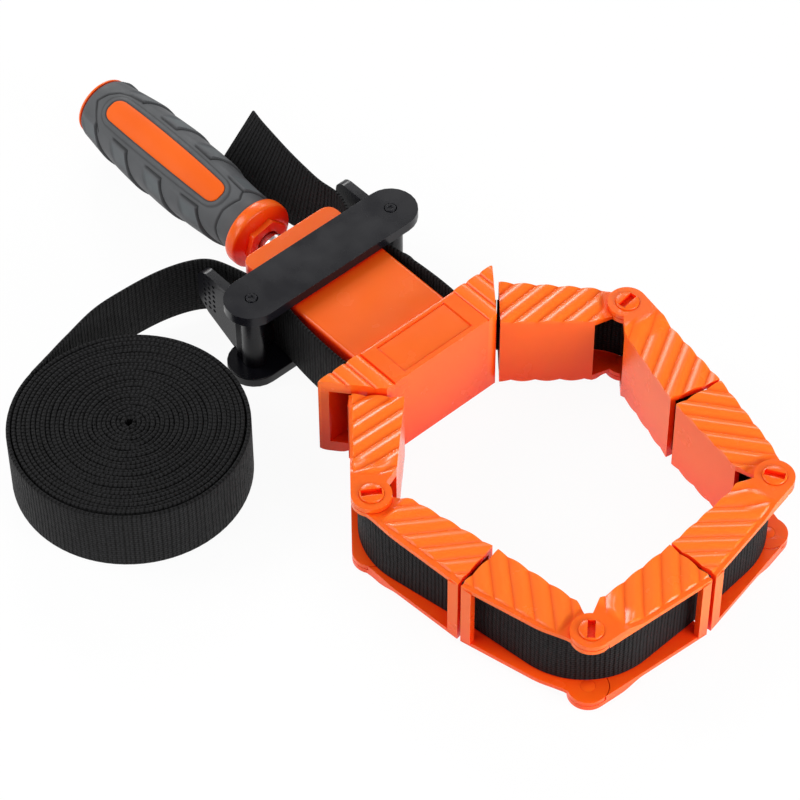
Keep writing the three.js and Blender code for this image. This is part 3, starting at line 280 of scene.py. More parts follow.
def carve(obj, cutter, operation="DIFFERENCE"):
    mod = obj.modifiers.new("cut", "BOOLEAN")
    mod.operation = operation
    mod.object = cutter
    mod.solver = "EXACT"
    mod.use_self = True
    bake(obj)
    bpy.data.objects.remove(cutter)
    bm = bmesh.new()
    bm.from_mesh(obj.data)
    bmesh.ops.remove_doubles(bm, verts=bm.verts[:], dist=WELD)
    bmesh.ops.dissolve_degenerate(bm, edges=bm.edges[:], dist=WELD)
    bm.to_mesh(obj.data)
    bm.free()
    return obj


def merged(name, parts):
    bm = bmesh.new()
    for part in parts:
        bm.from_mesh(part.data)
        bpy.data.objects.remove(part)
    return mesh_object(name, bm)


def slab(outline, cuts, upper, lower):
    """A closed plate over an outline, sliced along the cuts, with its upper and lower face given as heights."""
    bm = bmesh.new()
    bm.faces.new([bm.verts.new((x, y, 0)) for x, y in outline])
    for point, normal in cuts:
        everything = bm.verts[:] + bm.edges[:] + bm.faces[:]
        bmesh.ops.bisect_plane(bm, geom=everything, plane_co=(*point, 0), plane_no=(*normal, 0), dist=1e-4)
    bmesh.ops.triangulate(bm, faces=bm.faces[:])
    made = bmesh.ops.extrude_face_region(bm, geom=bm.faces[:])["geom"]
    raised = {v for v in made if isinstance(v, bmesh.types.BMVert)}
    for v in bm.verts:
        v.co.z = upper(v.co.x, v.co.y) if v in raised else lower(v.co.x, v.co.y)
    bmesh.ops.recalc_face_normals(bm, faces=bm.faces[:])
    return mesh_object("slab", bm)


def prism(outline, low, high):
    return slab(outline, [], lambda x, y: high, lambda x, y: low)


def block(low, high):
    return prism([(low[0], low[1]), (high[0], low[1]), (high[0], high[1]), (low[0], high[1])], low[2], high[2])


def arc(x, y, radius, start, end, steps):
    """Points on an arc; the angles are in degrees."""
    angles = [math.radians(start + (end - start) * k / steps) for k in range(steps + 1)]
    return [(x + radius * math.cos(a), y + radius * math.sin(a)) for a in angles]


def disc(x, y, radius, low, high, steps=40):
    return prism(arc(x, y, radius, 0, 360, steps)[:-1], low, high)


def rounded(x0, y0, x1, y1, radius, steps=6):
    return (arc(x1 - radius, y1 - radius, radius, 0, 90, steps) + arc(x0 + radius, y1 - radius, radius, 90, 180, steps)
            + arc(x0 + radius, y0 + radius, radius, 180, 270, steps)
            + arc(x1 - radius, y0 + radius, radius, 270, 360, steps))


def lathe(profile, steps, axis="Z"):
    """Turns [radius, height] points about the axis; a radius of zero closes the end."""
    verts, faces, rings = [], [], []
    for radius, height in profile:
        if radius < 1e-6:
            rings.append([len(verts)] * steps)
            verts.append((0, 0, height))
        else:
            rings.append(list(range(len(verts), len(verts) + steps)))
            verts += [(radius * math.cos(2 * math.pi * k / steps), radius * math.sin(2 * math.pi * k / steps), height)
                      for k in range(steps)]
    for a, b in zip(rings, rings[1:]):
        for k in range(steps):
            quad = [a[k], a[(k + 1) % steps], b[(k + 1) % steps], b[k]]
            face = [v for i, v in enumerate(quad) if v not in quad[:i]]
            if len(face) > 2:
                faces.append(face)
    if axis == "Y":
        verts = [(-x, z, y + MID) for x, y, z in verts]
    obj = mesh_object("lathe", (verts, faces))
    bm = bmesh.new()
    bm.from_mesh(obj.data)
    bmesh.ops.recalc_face_normals(bm, faces=bm.faces[:])
    bm.to_mesh(obj.data)
    bm.free()
    return obj


def smooth(low, high, value):
    t = min(max((value - low) / (high - low), 0), 1)
    return t * t * (3 - 2 * t)


# Strap: a woven band swept along a path of [x, y, base height, lean]. The path is its top edge seen from above;
# with a lean, in degrees, its foot swings out to the left.
def resample(points, step):
    points = np.array(points, float)
    lengths = np.concatenate([[0], np.cumsum(np.linalg.norm(np.diff(points, axis=0), axis=1))])
    count = max(2, int(round(lengths[-1] / step)) + 1)
    at = np.linspace(0, lengths[-1], count)
    return np.stack([np.interp(at, lengths, points[:, k]) for k in range(points.shape[1])], 1)


def spline(points, steps=12):
    points = [np.array(p, float) for p in points]
    points = [2 * points[0] - points[1]] + points + [2 * points[-1] - points[-2]]
    out = []
    for k in range(1, len(points) - 2):
        p0, p1, p2, p3 = points[k - 1:k + 3]
        for s in range(steps):
            t = s / steps
            out.append(0.5 * (2 * p1 + (p2 - p0) * t + (2 * p0 - 5 * p1 + 4 * p2 - p3) * t * t
                              + (3 * p1 - p0 - 3 * p2 + p3) * t ** 3))
    out.append(points[-2])
    return np.array(out)


STRAP_WIDTH, STRAP_THICKNESS = 25.0, 1.2


def webbing(name, path, nodes, body=None, thickness=STRAP_THICKNESS, width=STRAP_WIDTH, step=1.5,
            bend=None):
    """Sweeps the band. A bend gives two bodies and the shares of the path where it would start and end to turn; the
    band is not made to turn, and with a bend its transform is only baked into the mesh.
    """
    path = resample(path, step) if step else np.array(path, float)
    ahead = np.gradient(path[:, :2], axis=0)
    ahead /= np.linalg.norm(ahead, axis=1)[:, None]
    normal = np.stack([-ahead[:, 1], ahead[:, 0]], 1)
    half, soft = thickness / 2, thickness * 0.42
    levels = [0.0, soft * 0.3, soft, width * 0.25, width * 0.5, width * 0.75, width - soft, width - soft * 0.3, width]
    spread = [0.45, 0.82, 1.0, 1.0, 1.0, 1.0, 1.0, 0.82, 0.45]
    profile = [(half * s, z) for s, z in zip(spread, levels)]
    profile += [(-d, z) for d, z in reversed(profile)]
    around = np.concatenate([[0], np.cumsum([math.dist(a, b) for a, b in zip(profile, profile[1:] + profile[:1])])])
    lengths = np.concatenate([[0], np.cumsum(np.linalg.norm(np.diff(path[:, :2], axis=0), axis=1))])
    ring = len(profile)
    verts = []
    for k, (x, y, base, *leans) in enumerate(path):
        lean = math.radians(leans[0]) if leans else 0.0
        c, s = math.cos(lean), math.sin(lean)
        nx, ny = normal[k]
        for d, z in profile:
            down = width - z
            verts.append((x + nx * (d * c + down * s), y + ny * (d * c + down * s), base + width + d * s - down * c))
    faces, uvs = [], []
    for k in range(len(path) - 1):
        for j in range(ring):
            j2 = (j + 1) % ring
            faces.append((k * ring + j, (k + 1) * ring + j, (k + 1) * ring + j2, k * ring + j2))
            u0, u1, v0, v1 = (q * MM for q in (lengths[k], lengths[k + 1], around[j], around[j + 1]))
            uvs += [(u0, v0), (u1, v0), (u1, v1), (u0, v1)]
    last = (len(path) - 1) * ring
    faces.append(tuple(range(ring)))
    uvs += [(0, around[j] * MM) for j in range(ring)]
    faces.append(tuple(last + j for j in reversed(range(ring))))
    uvs += [(lengths[-1] * MM, around[j] * MM) for j in reversed(range(ring))]
    obj = mesh_object(name, (verts, faces))
    layer = obj.data.uv_layers.new(name="UVMap")
    for loop, uv in zip(layer.data, uvs):
        loop.uv = uv
    dress(obj, WEBBING, body, nodes, weighted=False)
    obj.data.set_sharp_from_angle(angle=math.radians(50))
    if bend:
        first, second, start_share, end_share = bend
        start, end = (path[int(share * (len(path) - 1))][:2] * MM for share in (start_share, end_share))
        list(start)
        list(end)
        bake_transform(obj)
    return obj


STRAP_BASE = 5.1
STRAP_GAP = 0.15
RUN_X = 21.95
GATE_X = 24.5
PIN_LINE = 52.55
HEAD_BACK = 9.05
COIL = (-92.65, 44.35)
COIL_RADIUS, COIL_PITCH, COIL_LOOPS, COIL_START = 40.9, 1.6, 24.7, 105
COIL_THICKNESS, COIL_WIDTH, COIL_PULL, PULL_FADE = 1.5, 24.6, 0.5, 26


def coil_path(per_loop):
    """A spiral from the outside in, whose loops pull in, wander and lift a little."""
    out = []
    for k in range(int(COIL_LOOPS * per_loop) + 1):
        turns = k / per_loop
        angle = math.radians(COIL_START) + 2 * math.pi * turns
        radius = COIL_RADIUS - COIL_PITCH * turns - COIL_PULL * smooth(0.5, 1.2, turns) * (1 - turns / PULL_FADE)
        if turns > 1:
            radius += 0.12 * math.sin(3 * angle + 0.35 * turns) + 0.07 * math.sin(5.3 * angle)
        wave = 0.5 + 0.3 * math.sin(2.3 * angle + 1.9 * turns) + 0.2 * math.sin(7.1 * angle)
        lift = 0.75 * wave * smooth(0.6, 1.4, turns)
        out.append((COIL[0] + radius * math.cos(angle), COIL[1] + radius * math.sin(angle), lift))
    return out


webbing("coil", coil_path(80), ["strap_coil"], "yoke", COIL_THICKNESS, COIL_WIDTH, step=0)
heading = math.radians(COIL_START + 90)
start = coil_path(1)[0]
lead = spline([(-RUN_X, PIN_LINE + 2 * STRAP_GAP, STRAP_BASE), (-RUN_X, 61.05, STRAP_BASE), (-23.95, 70.05, STRAP_BASE),
               (-27.55, 79.55, 5), (-33.75, 84.75, 4.4), (-43.95, 88.85, 3.2), (-56.95, 91.05, 2), (-69.95, 91.65, 1)]
              + [(start[0] - r * math.cos(heading), start[1] - r * math.sin(heading), 0) for r in (20, 10, 0.03)])
lead[:, 2] = np.maximum(lead[:, 2], 0)
webbing("lead", lead, ["strap_lead"], "yoke")
tail = spline([(RUN_X, PIN_LINE + 2 * STRAP_GAP, STRAP_BASE, 0), (RUN_X, 61.05, STRAP_BASE, 0),
               (24.55, 68.05, STRAP_BASE, 0), (26.25, 74.55, STRAP_BASE, 3.6),
               (25.65, 83.55, STRAP_BASE, 10.8), (26.25, 92.55, STRAP_BASE, 18),
               (27.35, 102.55, STRAP_BASE, 25.2), (28.85, 112.55, STRAP_BASE, 30.6),
               (30.15, 120.55, STRAP_BASE, 34.2), (31.35, 125.85, STRAP_BASE, 36)])
webbing("tail", tail, ["strap_tail"], "yoke")


def bent(start, corner, end, radius, steps=24):
    """A path of two straight lengths with a rounded corner between them."""
    start, corner, end = (Vector(p) for p in (start, corner, end))
    arrive, leave = (corner - start).normalized(), (end - corner).normalized()
    turn = math.atan2(arrive.x * leave.y - arrive.y * leave.x, arrive.dot(leave))
    reach = radius * math.tan(abs(turn) / 2)
    hand = 1 if turn > 0 else -1
    first = corner - arrive * reach
    centre = first + Vector((-arrive.y, arrive.x)) * radius * hand
    begin = math.atan2(first.y - centre.y, first.x - centre.x)
    headings = [begin + turn * k / steps for k in range(steps + 1)]
    curve = [(centre.x + radius * math.cos(a), centre.y + radius * math.sin(a)) for a in headings]
    return [(*p, STRAP_BASE) for p in [start] + curve + [end]]


LINK_X, LINK_Y = 44.3, 5.3
KNUCKLE_BEND, HEAD_BEND = 28, 4
TURN_START, TURN_END = 0.32, 0.68
# Per jaw: hand, heading of the gap frame, heading of the knuckle frame, first and second arm with their raised sides
JAWS = {
    "rear_right": (1, -41.067, -105.966, ("tongue", ()), ("fork", (1, -1))),
    "front_right": (1, -98.066, -174.973, ("tongue", ()), ("fork", (1, -1))),
    "rear_left": (-1, -136.733, -79.334, ("fork", (1,)), ("tongue", (-1,))),
    "front_left": (-1, -82.234, 1.637, ("tongue", ()), ("fork", (1, -1))),
}


def jaw_points(jaw):
    gap = Vector(JOINTS[jaw + "_strap_bend"]["pos_m"][:2]) / MM
    knuckle = Vector(JOINTS[jaw + "_knuckle"]["pos_m"][:2]) / MM
    return gap, knuckle


def turned(point, angle):
    c, s = math.cos(math.radians(angle)), math.sin(math.radians(angle))
    return Vector((c * point[0] - s * point[1], s * point[0] + c * point[1]))


for jaw, (hand, gap_angle, knuckle_angle, first, second) in JAWS.items():
    gap, knuckle = jaw_points(jaw)
    ahead, onward = turned((1, 0), gap_angle), turned((1, 0), knuckle_angle)
    begin = gap + ahead * STRAP_GAP
    end = knuckle + turned((LINK_X - STRAP_GAP, hand * LINK_Y), knuckle_angle)
    across = ahead.x * onward.y - ahead.y * onward.x
    gone = ((end - begin).x * onward.y - (end - begin).y * onward.x) / across
    webbing("jaw_strap_" + jaw, bent(begin, begin + ahead * gone, end, KNUCKLE_BEND), ["strap_" + jaw],
            bend=(f"{jaw}_{first[0]}", f"{jaw}_{second[0]}", TURN_START, TURN_END))

for hand, jaw, label in ((1, "rear_right", "right"), (-1, "rear_left", "left")):
    gap = jaw_points(jaw)[0]
    mitre = math.atan2(18.1, 14.85)
    out = Vector((hand * math.sin(mitre), -math.cos(mitre)))
    end = gap - out * STRAP_GAP
    corner = end + out * ((hand * GATE_X - end.x) / out.x)
    webbing("head_strap_" + label, bent((hand * GATE_X, HEAD_BACK + STRAP_GAP), corner, end, HEAD_BEND),
            ["strap_head_" + label], "head", step=0.8)
    run = [(hand * x, y, STRAP_BASE) for x, y in ((GATE_X, HEAD_BACK + 3 * STRAP_GAP), (24.75, 18), (24.5, 27),
                                                  (23.8, 36), (22.85, 43), (22.2, 47.5), (RUN_X, PIN_LINE - STRAP_GAP))]
    webbing("run_strap_" + label, spline(run), ["strap_run_" + label],
            bend=("head", "yoke", 0, 1))


# Jaw arms. Frame: knuckle axis at the origin, +X to the outer end, the clamping face at +Y times hand
REACH, INSET, OUTER, KNUCKLE = 43.5, 7.2, -11.5, 6.8
WALL, WALL_HEIGHT, END_WALL, END_DEPTH = 2, 13.4, 4, 2.2
WALL_END = REACH - 32.2
RIB_SHIFT = 1.2
RIB_PITCH, RIB_HEIGHT, RIB_POWER = 6.0, 0.95, 1.75
RIB_CUTS = (0, 0.03, 0.08, 0.15, 0.24, 0.33, 0.42, 0.5, 0.58, 0.67, 0.76, 0.85, 0.92, 0.97)
WING_CUTS = (0, 0.03, 0.08, 0.15, 0.25, 0.38, 0.5, 0.62, 0.75, 0.85, 0.92, 0.97)
PLATE_LOW, PLATE_HIGH, LAP_LOW, LAP_HIGH = 12.8, 14.5, 14.8, 16.7
RAMP_START, RAMP_END = 7.6, 16.7
LAP_ROOM, PIN_HOLE, SEAT_HOLE, SEAT_DEPTH = 0.3, 2.5, 4.3, 1.5
NECK_DEPTH = 1.75
PIN_FOOT, PIN_RADIUS, PIN_CAP, PIN_CROWN = 12.82, 2.46, 4.2, 17.6
EDGE_ANGLE = math.degrees(math.atan2(OUTER, REACH) - math.acos(KNUCKLE / math.hypot(OUTER, REACH)))
EDGE_POINT = Vector((KNUCKLE * math.cos(math.radians(EDGE_ANGLE)), KNUCKLE * math.sin(math.radians(EDGE_ANGLE))))
EDGE_ALONG = (Vector((REACH, OUTER)) - EDGE_POINT).normalized()
EDGE_IN = Vector((-EDGE_ALONG.y, EDGE_ALONG.x))


def scallop(u, pitch, power):
    """A rounded hump between two sharp valleys; a higher power makes the valleys narrower."""
    return 1 - abs(2 * (u / pitch % 1) - 1) ** power


def arm_outline(waist):
    """Clamping side, knuckle ring, a neck behind it as deep as the waist says, and the outer edge."""
    neck = []
    for x, inward in ((5.1, NECK_DEPTH), (6.4, 1.5), (7.8, 1.25), (9.4, 0.95), (11.2, 0.55), (13.2, 0.2), (15.5, 0)):
        along = (x - EDGE_POINT.x) / EDGE_ALONG.x
        neck.append(tuple(EDGE_POINT + EDGE_ALONG * along + EDGE_IN * inward * waist))
    ring_end = 360 + EDGE_ANGLE + math.degrees(math.acos(1 - NECK_DEPTH * waist / KNUCKLE))
    return [(REACH, INSET), (WALL_END, INSET)] + arc(0, 0, KNUCKLE, 40, ring_end, 28) + neck + [(REACH, OUTER)]


def arm_cuts(land):
    slant = math.sqrt(0.5)
    cuts = []
    for k in range(-2, 9):
        for part in RIB_CUTS:
            u = (k + part) * RIB_PITCH - RIB_SHIFT
            cuts.append(((u * slant, -u * slant), (slant, -slant)))
    for offset in (0, 0.2, 0.4, 0.6, 0.8) if land else ():
        cuts.append((tuple(EDGE_POINT + EDGE_IN * (land + offset)), tuple(EDGE_IN)))
    for x in (7.6, 8.2, 8.8, 9.4, 10, 10.6, 11.4, 12.4, 13.6, 15.2, 16.7):
        cuts.append(((x, 0), (1, 0)))
    return cuts


def rib(x, y, raised, land):
    """Ribs that start beside the knuckle and stop short of the outer edge where the arm has a land there."""
    u = (x - y) * math.sqrt(0.5)
    edge = (Vector((x, y)) - EDGE_POINT).dot(EDGE_IN)
    mask = smooth(RAMP_START, 11.4 if raised else 10.0, x) * (smooth(land, land + 0.8, edge) if land else 1)
    return scallop(u + RIB_SHIFT, RIB_PITCH, RIB_POWER) * mask


def arm_surface(raised, land):
    def upper(x, y):
        base = PLATE_HIGH
        if raised:
            base += (LAP_HIGH - PLATE_HIGH) * (1 - smooth(RAMP_START, RAMP_END, x))
        return base + RIB_HEIGHT * rib(x, y, raised, land)
    return upper


def mark(obj, rule):
    """Writes how high each point stands on its rib, from 0 to 1, for the painted highlight on the crests."""
    tone = np.ones((len(obj.data.vertices), 4))
    tone[:, 0] = [rule(*v.co) for v in obj.data.vertices]
    obj.data.color_attributes.new("tone", "FLOAT_COLOR", "POINT").data.foreach_set("color", tone.ravel())


def mirror(obj, hand, level):
    """Turns a shape into its mirror image across the arm or across the middle height, and lifts it into place."""
    obj.data.transform(Matrix.Diagonal((1, hand, level, 1)))
    if hand * level < 0:
        obj.data.flip_normals()
    obj.data.transform(Matrix.Translation((0, 0, MID)))
    return obj


def arm(name, body, node, centre, angle, hand, raised, waist, land):
    parts, cutters = [], []
    for level in (1, -1):
        up = level in raised
        plate = slab(arm_outline(waist), arm_cuts(land), arm_surface(up, land), lambda x, y: PLATE_LOW)
        parts.append(mirror(plate, hand, level))
        if up:
            cutters.append(mirror(disc(0, 0, KNUCKLE + LAP_ROOM, PLATE_LOW - 2, LAP_LOW), hand, level))
            cutters.append(mirror(disc(0, 0, SEAT_HOLE, LAP_HIGH - SEAT_DEPTH, LAP_HIGH + 3), hand, level))
    parts.append(mirror(block((WALL_END, INSET - WALL, -WALL_HEIGHT), (REACH, INSET, WALL_HEIGHT)), hand, 1))
    end_wall = block((REACH - END_WALL, OUTER, -WALL_HEIGHT), (REACH, OUTER + END_DEPTH, WALL_HEIGHT))
    parts.append(mirror(end_wall, hand, 1))
    cutters.append(mirror(disc(0, 0, PIN_HOLE, -25, 25, 48), 1, 1))
    obj = carve(merged(name, parts), merged("cutter", cutters))

    def height_on_rib(x, y, z):
        level = 1 if z > MID else -1
        return rib(x, y * hand, level in raised, land) if abs(z - MID) > PLATE_HIGH - 0.01 else 0

    # Rib heights, for the painted highlight on the crests.
    mark(obj, height_on_rib)
    obj.data.transform(Matrix.Translation((*centre, 0)) @ Matrix.Rotation(math.radians(angle), 4, "Z"))
    return dress(obj, ORANGE, body, [node], bevel=0.48, segments=3, angle=42)


def pin_head(body, node, centre, level, slot_angle):
    seat = LAP_HIGH - SEAT_DEPTH
    obj = lathe([(0, PIN_FOOT), (PIN_RADIUS, PIN_FOOT), (PIN_RADIUS, seat), (PIN_CAP, seat),
                 (PIN_CAP, PIN_CROWN - 0.75), (4.05, PIN_CROWN - 0.4), (3.7, PIN_CROWN - 0.15),
                 (2.4, PIN_CROWN), (0, PIN_CROWN + 0.05)], 40)
    obj = carve(obj, block((-3.45, -1.25, PIN_CROWN - 2.1), (3.45, 1.25, PIN_CROWN + 2)))
    obj.data.transform(Matrix.Rotation(math.radians(slot_angle), 4, "Z"))
    if level < 0:
        obj.data.transform(Matrix.Rotation(math.pi, 4, "X"))
    obj.data.transform(Matrix.Translation((*centre, MID)))
    return dress(obj, ORANGE, body, [node], bevel=0.14, angle=35)


LANDS = {"rear_right_tongue": 0, "rear_right_fork": 0, "front_right_tongue": 0, "front_right_fork": 1.2,
         "rear_left_fork": 0.6, "rear_left_tongue": 1.7, "front_left_tongue": 1.3, "front_left_fork": 1.3}
SLOT_ANGLES = {"rear_right": 8, "front_right": -60, "rear_left": -34, "front_left": 44}
for jaw, (hand, gap_angle, knuckle_angle, first, second) in JAWS.items():
    knuckle = jaw_points(jaw)[1]
    waists = {"fork": 0.0, "tongue": 0.85 if jaw == "front_left" else 0.45}
    for label, half, angle, turn in (("a", first, gap_angle + 180, hand), ("b", second, knuckle_angle, -hand)):
        body = f"{jaw}_{half[0]}"
        arm(f"{jaw}_arm_{label}", body, body + "_arm", knuckle, angle, turn, half[1], waists[half[0]], LANDS[body])
    for level, label in ((1, "top"), (-1, "bottom")):
        pin_head(f"{jaw}_{second[0]}", f"{jaw}_{label}_pin", knuckle, level, SLOT_ANGLES[jaw])


# Head: mitred block with scalloped wings, a raised panel with a shallow recess, and the guide box
TOP = 35.2
HEAD_FRONT, FRONT_X, BACK_X = -9.05, 25.0, 39.85
PANEL_X, RECESS_X, RECESS_Y = 21.0, 15.5, 7.3
WING_DROP, WING_RISE, WING_PITCH, WING_POWER, WING_START = 0.9, 0.95, 6.2, 4.2, 0.25
RECESS_STEPS, RECESS_DEPTHS = (0, 0.2, 0.45, 0.75), (0, 0.65, 0.65, 0.45)


def head_surface(x, y):
    x = abs(x)
    if x <= PANEL_X:
        round_off = min(max((y - 8.05) / 1.0, 0), 1)
        level = TOP - (1 - math.sqrt(1 - round_off ** 2 * 0.96)) * WING_DROP
        inside = min(RECESS_X - x, RECESS_Y - abs(y))
        return level - float(np.interp(inside, RECESS_STEPS, RECESS_DEPTHS))
    hump = scallop(x - PANEL_X - WING_START, WING_PITCH, WING_POWER)
    return TOP - WING_DROP + WING_RISE * hump * smooth(0.0, 0.3, x - PANEL_X - 0.2)


def head_cuts():
    cuts = []
    for side in (1, -1):
        for x in [RECESS_X - d for d in RECESS_STEPS] + [PANEL_X, PANEL_X + 0.2, PANEL_X + 0.3] + [
                PANEL_X + WING_START + WING_PITCH * (k + part) for k in range(4) for part in WING_CUTS if k + part > 0]:
            cuts.append(((side * x, 0), (1, 0)))
        for d in RECESS_STEPS:
            cuts.append(((0, side * (RECESS_Y - d)), (0, 1)))
    return cuts + [((0, y), (0, 1)) for y in (-8.6, -8.2, -7.8, 8.05, 8.35, 8.6, 8.8, 8.92, 9.0)]


def along_y(outline, start, end):
    """A prism whose outline stands in the XZ plane, from y = start to y = end."""
    obj = prism([(x, -z) for x, z in outline], start, end)
    obj.data.transform(Matrix.Rotation(math.radians(-90), 4, "X"))
    return obj


SHELL, CHANNEL_X, GATE_END, CHANNEL_HALF, NUT_POCKET = 2.8, 21.2, 27.8, 12.8, 8.4
GUIDE_X, GUIDE_Z, GUIDE_END, BORE_X, BORE_Z = 20.9, 12.1, 45.05, 15.3, 8.6
outline = [(-FRONT_X, HEAD_FRONT), (FRONT_X, HEAD_FRONT), (BACK_X, HEAD_BACK), (-BACK_X, HEAD_BACK)]
wings = slab(outline, head_cuts(), head_surface, lambda x, y: (TOP - head_surface(x, y)) * smooth(-9, -7.8, y))
guide = along_y(rounded(-GUIDE_X, MID - GUIDE_Z, GUIDE_X, MID + GUIDE_Z, 1.5), 0, GUIDE_END)
cutters = []
for side in (1, -1):
    channel = [(CHANNEL_X, HEAD_FRONT + SHELL), (45, HEAD_FRONT + SHELL), (45, HEAD_BACK - SHELL),
               (GATE_END, HEAD_BACK - SHELL), (GATE_END, HEAD_BACK + 3), (CHANNEL_X, HEAD_BACK + 3)]
    channel = [(side * x, y) for x, y in channel]
    cutters.append(prism(channel if side > 0 else channel[::-1], MID - CHANNEL_HALF, MID + CHANNEL_HALF))
cutters.append(along_y(rounded(-BORE_X, MID - BORE_Z, BORE_X, MID + BORE_Z, 0.6), HEAD_BACK, 50))
cutters.append(along_y(arc(0, MID, NUT_POCKET, 0, 360, 6)[:-1], HEAD_FRONT + SHELL, HEAD_BACK + 1))
head = carve(merged("head_shell", [wings]), guide, "UNION")
for cutter in cutters:
    head = carve(head, cutter)


def height_on_wing(x, y, z):
    return max((abs(z - MID) - MID + WING_DROP) / WING_RISE, 0) if abs(x) > PANEL_X + WING_START else 0


# Wing rib heights, for the painted highlight on the crests.
mark(head, height_on_wing)
dress(head, ORANGE, "head", ["head_block"], bevel=0.4, segments=3, angle=38)


# Handle: turned core, raised inlay, and a grip of overlapping scales. Angles are measured from the inlay
HANDLE_TURN = -22.0
GRIP_START, GRIP_END, GRIP_RADIUS, GRIP_BORE, GRIP_ARC = 90.85, 173.85, 13.9, 7.3, 13.2
GRIP_AT = [0, 0.06, 0.14, 0.26, 0.42, 0.58, 0.72, 0.84, 0.94, 1]
GRIP_SIZE = [0.775, 0.78, 0.83, 0.925, 0.985, 1, 0.985, 0.93, 0.865, 0.835]
INLAY_Y, INLAY_HALF, INLAY_WIDE = 132.85, 30.5, 4.8
INLAY_ROUND, INLAY_ARC, INLAY_FOOT, INLAY_HUMP = 4.6, 13.4, 9.5, 2.5


def grip_radius(y):
    at = np.clip((np.asarray(y, float) - GRIP_START) / (GRIP_END - GRIP_START), 0, 1)
    fine = sum(np.interp(np.clip(at + d, 0, 1), GRIP_AT, GRIP_SIZE) for d in np.linspace(-0.05, 0.05, 9)) / 9
    return GRIP_RADIUS * fine


def soft(low, high, value):
    t = np.clip((value - low) / (high - low), 0, 1)
    return t * t * (3 - 2 * t)


def inlay_distance(s, y):
    """How far a point on the grip lies outside the inlay's edge."""
    corner = 4.1
    dx = np.abs(s) - (INLAY_WIDE - corner)
    dy = np.abs(y - INLAY_Y) - (INLAY_HALF - corner)
    return np.hypot(np.maximum(dx, 0), np.maximum(dy, 0)) + np.minimum(np.maximum(dx, dy), 0) - corner


SCALE_EDGE, SCALE_PITCH, SCALE_HEIGHT, GROOVE = 39, 18.9, 0.95, 0.36
NEAR_ROWS = [164.5, 145.6, 126.7, 107.8]
FAR_ROWS = [174.6, 155.7, 136.6, 117.4, 98.6]
OPEN_SCALES = (NEAR_ROWS[0], FAR_ROWS[1])
RIM_LINE = [(-48.5, 162.3), (-39, 164.5), (-7.5, 169.7), (12.5, 168.2), (29.5, 165.5), (38, 161.7), (41, 155.7)]
COLLAR_LINE = [(-150, 92.5), (-99, 94.9), (-54.5, 97.9), (-16, 98), (20, 96.2), (38, 98.6)]


def line_distance(s, y, points):
    least = np.full_like(y, 99.0)
    points = [(math.radians(a) * GRIP_ARC, q) for a, q in points]
    for (s0, y0), (s1, y1) in zip(points, points[1:]):
        ds, dy = s1 - s0, y1 - y0
        t = np.clip(((s - s0) * ds + (y - y0) * dy) / (ds * ds + dy * dy), 0, 1)
        least = np.minimum(least, np.hypot(s - s0 - t * ds, y - y0 - t * dy))
    return least


def grip_relief(angle, y):
    """Height of the grip's surface over its barrel: scales that rise toward the collar and end in a groove."""
    s = np.radians(angle) * GRIP_ARC
    a = np.abs(angle)
    shift = 11.5 * (np.maximum(a - SCALE_EDGE, 0) / 90) ** 1.3
    scale = np.zeros_like(y)
    groove = np.zeros_like(y)
    facet = np.zeros_like(y)
    for rows, hand in ((NEAR_ROWS, angle < 0), (FAR_ROWS, angle >= 0)):
        for corner in rows:
            at = corner - shift
            above = y - at
            rise = SCALE_HEIGHT * np.clip(1 - above / SCALE_PITCH, 0, 1) * soft(-0.1, 0.45, above)
            scale = np.where(hand & (above > -0.1) & (above < SCALE_PITCH), rise, scale)
            if corner < GRIP_END:
                cut = np.exp(-((above + 0.15) / 0.32) ** 2) * soft(37.5, 40, a)
                if corner not in OPEN_SCALES:
                    beside = np.exp(-((np.abs(s) - math.radians(SCALE_EDGE) * GRIP_ARC) / GROOVE) ** 2)
                    cut = np.maximum(cut, beside * soft(-0.8, 0, above) * (1 - soft(7.6, 9.2, above)))
                groove = np.maximum(groove, np.where(hand, cut, 0))
            flat = math.cos(math.radians(17)) / np.cos(np.radians(np.clip(a, 41, 75) - 58)) - 1
            where = soft(0.1, 0.9, above) * (1 - soft(8.2, 9.6, above))
            facet = facet + np.where(hand & (a > 41) & (a < 75), flat * where, 0)
    scale = scale * soft(37.5, 44, a)
    for line in (RIM_LINE, COLLAR_LINE):
        groove = np.maximum(groove, np.exp(-(line_distance(s, y, line) / GROOVE) ** 2))
    edge = inlay_distance(s, y)
    ring = 0.34 * soft(0.0, 0.35, edge) * (1 - soft(1.7, 2.3, edge))
    border = np.exp(-((edge - 2.3) / 0.4) ** 2)
    seam = -0.4 * np.exp(-((edge - 0.05) / 0.22) ** 2)
    fade = (1 - soft(150, 168, a)) * soft(0, 4, y - GRIP_START) * soft(0, 3, GRIP_END - y)
    relief = (scale - 0.5 * groove + facet * GRIP_ARC) * fade * soft(1.9, 2.8, edge) + ring + seam - 0.15 * border
    lip = 0.8 * (np.exp(-(y - GRIP_START) / 0.35) + np.exp(-(GRIP_END - y) / 0.5))
    # Painted shade for the grip's colour: dark lines along the grooves, the border ring and the seam round the inlay.
    lines = np.maximum(groove * fade * soft(1.9, 2.8, edge), 0.45 * border)
    lines = np.maximum(lines, 0.6 * np.exp(-((edge - 0.05) / 0.25) ** 2))
    return relief - lip, facet, lines


def on_barrel(angle, y, radius):
    """The angle runs from the inlay toward +X."""
    a = np.radians(angle + HANDLE_TURN)
    return np.stack([radius * np.sin(a), y, MID + radius * np.cos(a)], -1)


def grid_faces(rows, columns, closed):
    faces = []
    for r in range(rows - 1):
        for c in range(columns if closed else columns - 1):
            d = (c + 1) % columns
            faces.append((r * columns + c, r * columns + d, (r + 1) * columns + d, (r + 1) * columns + c))
    return faces


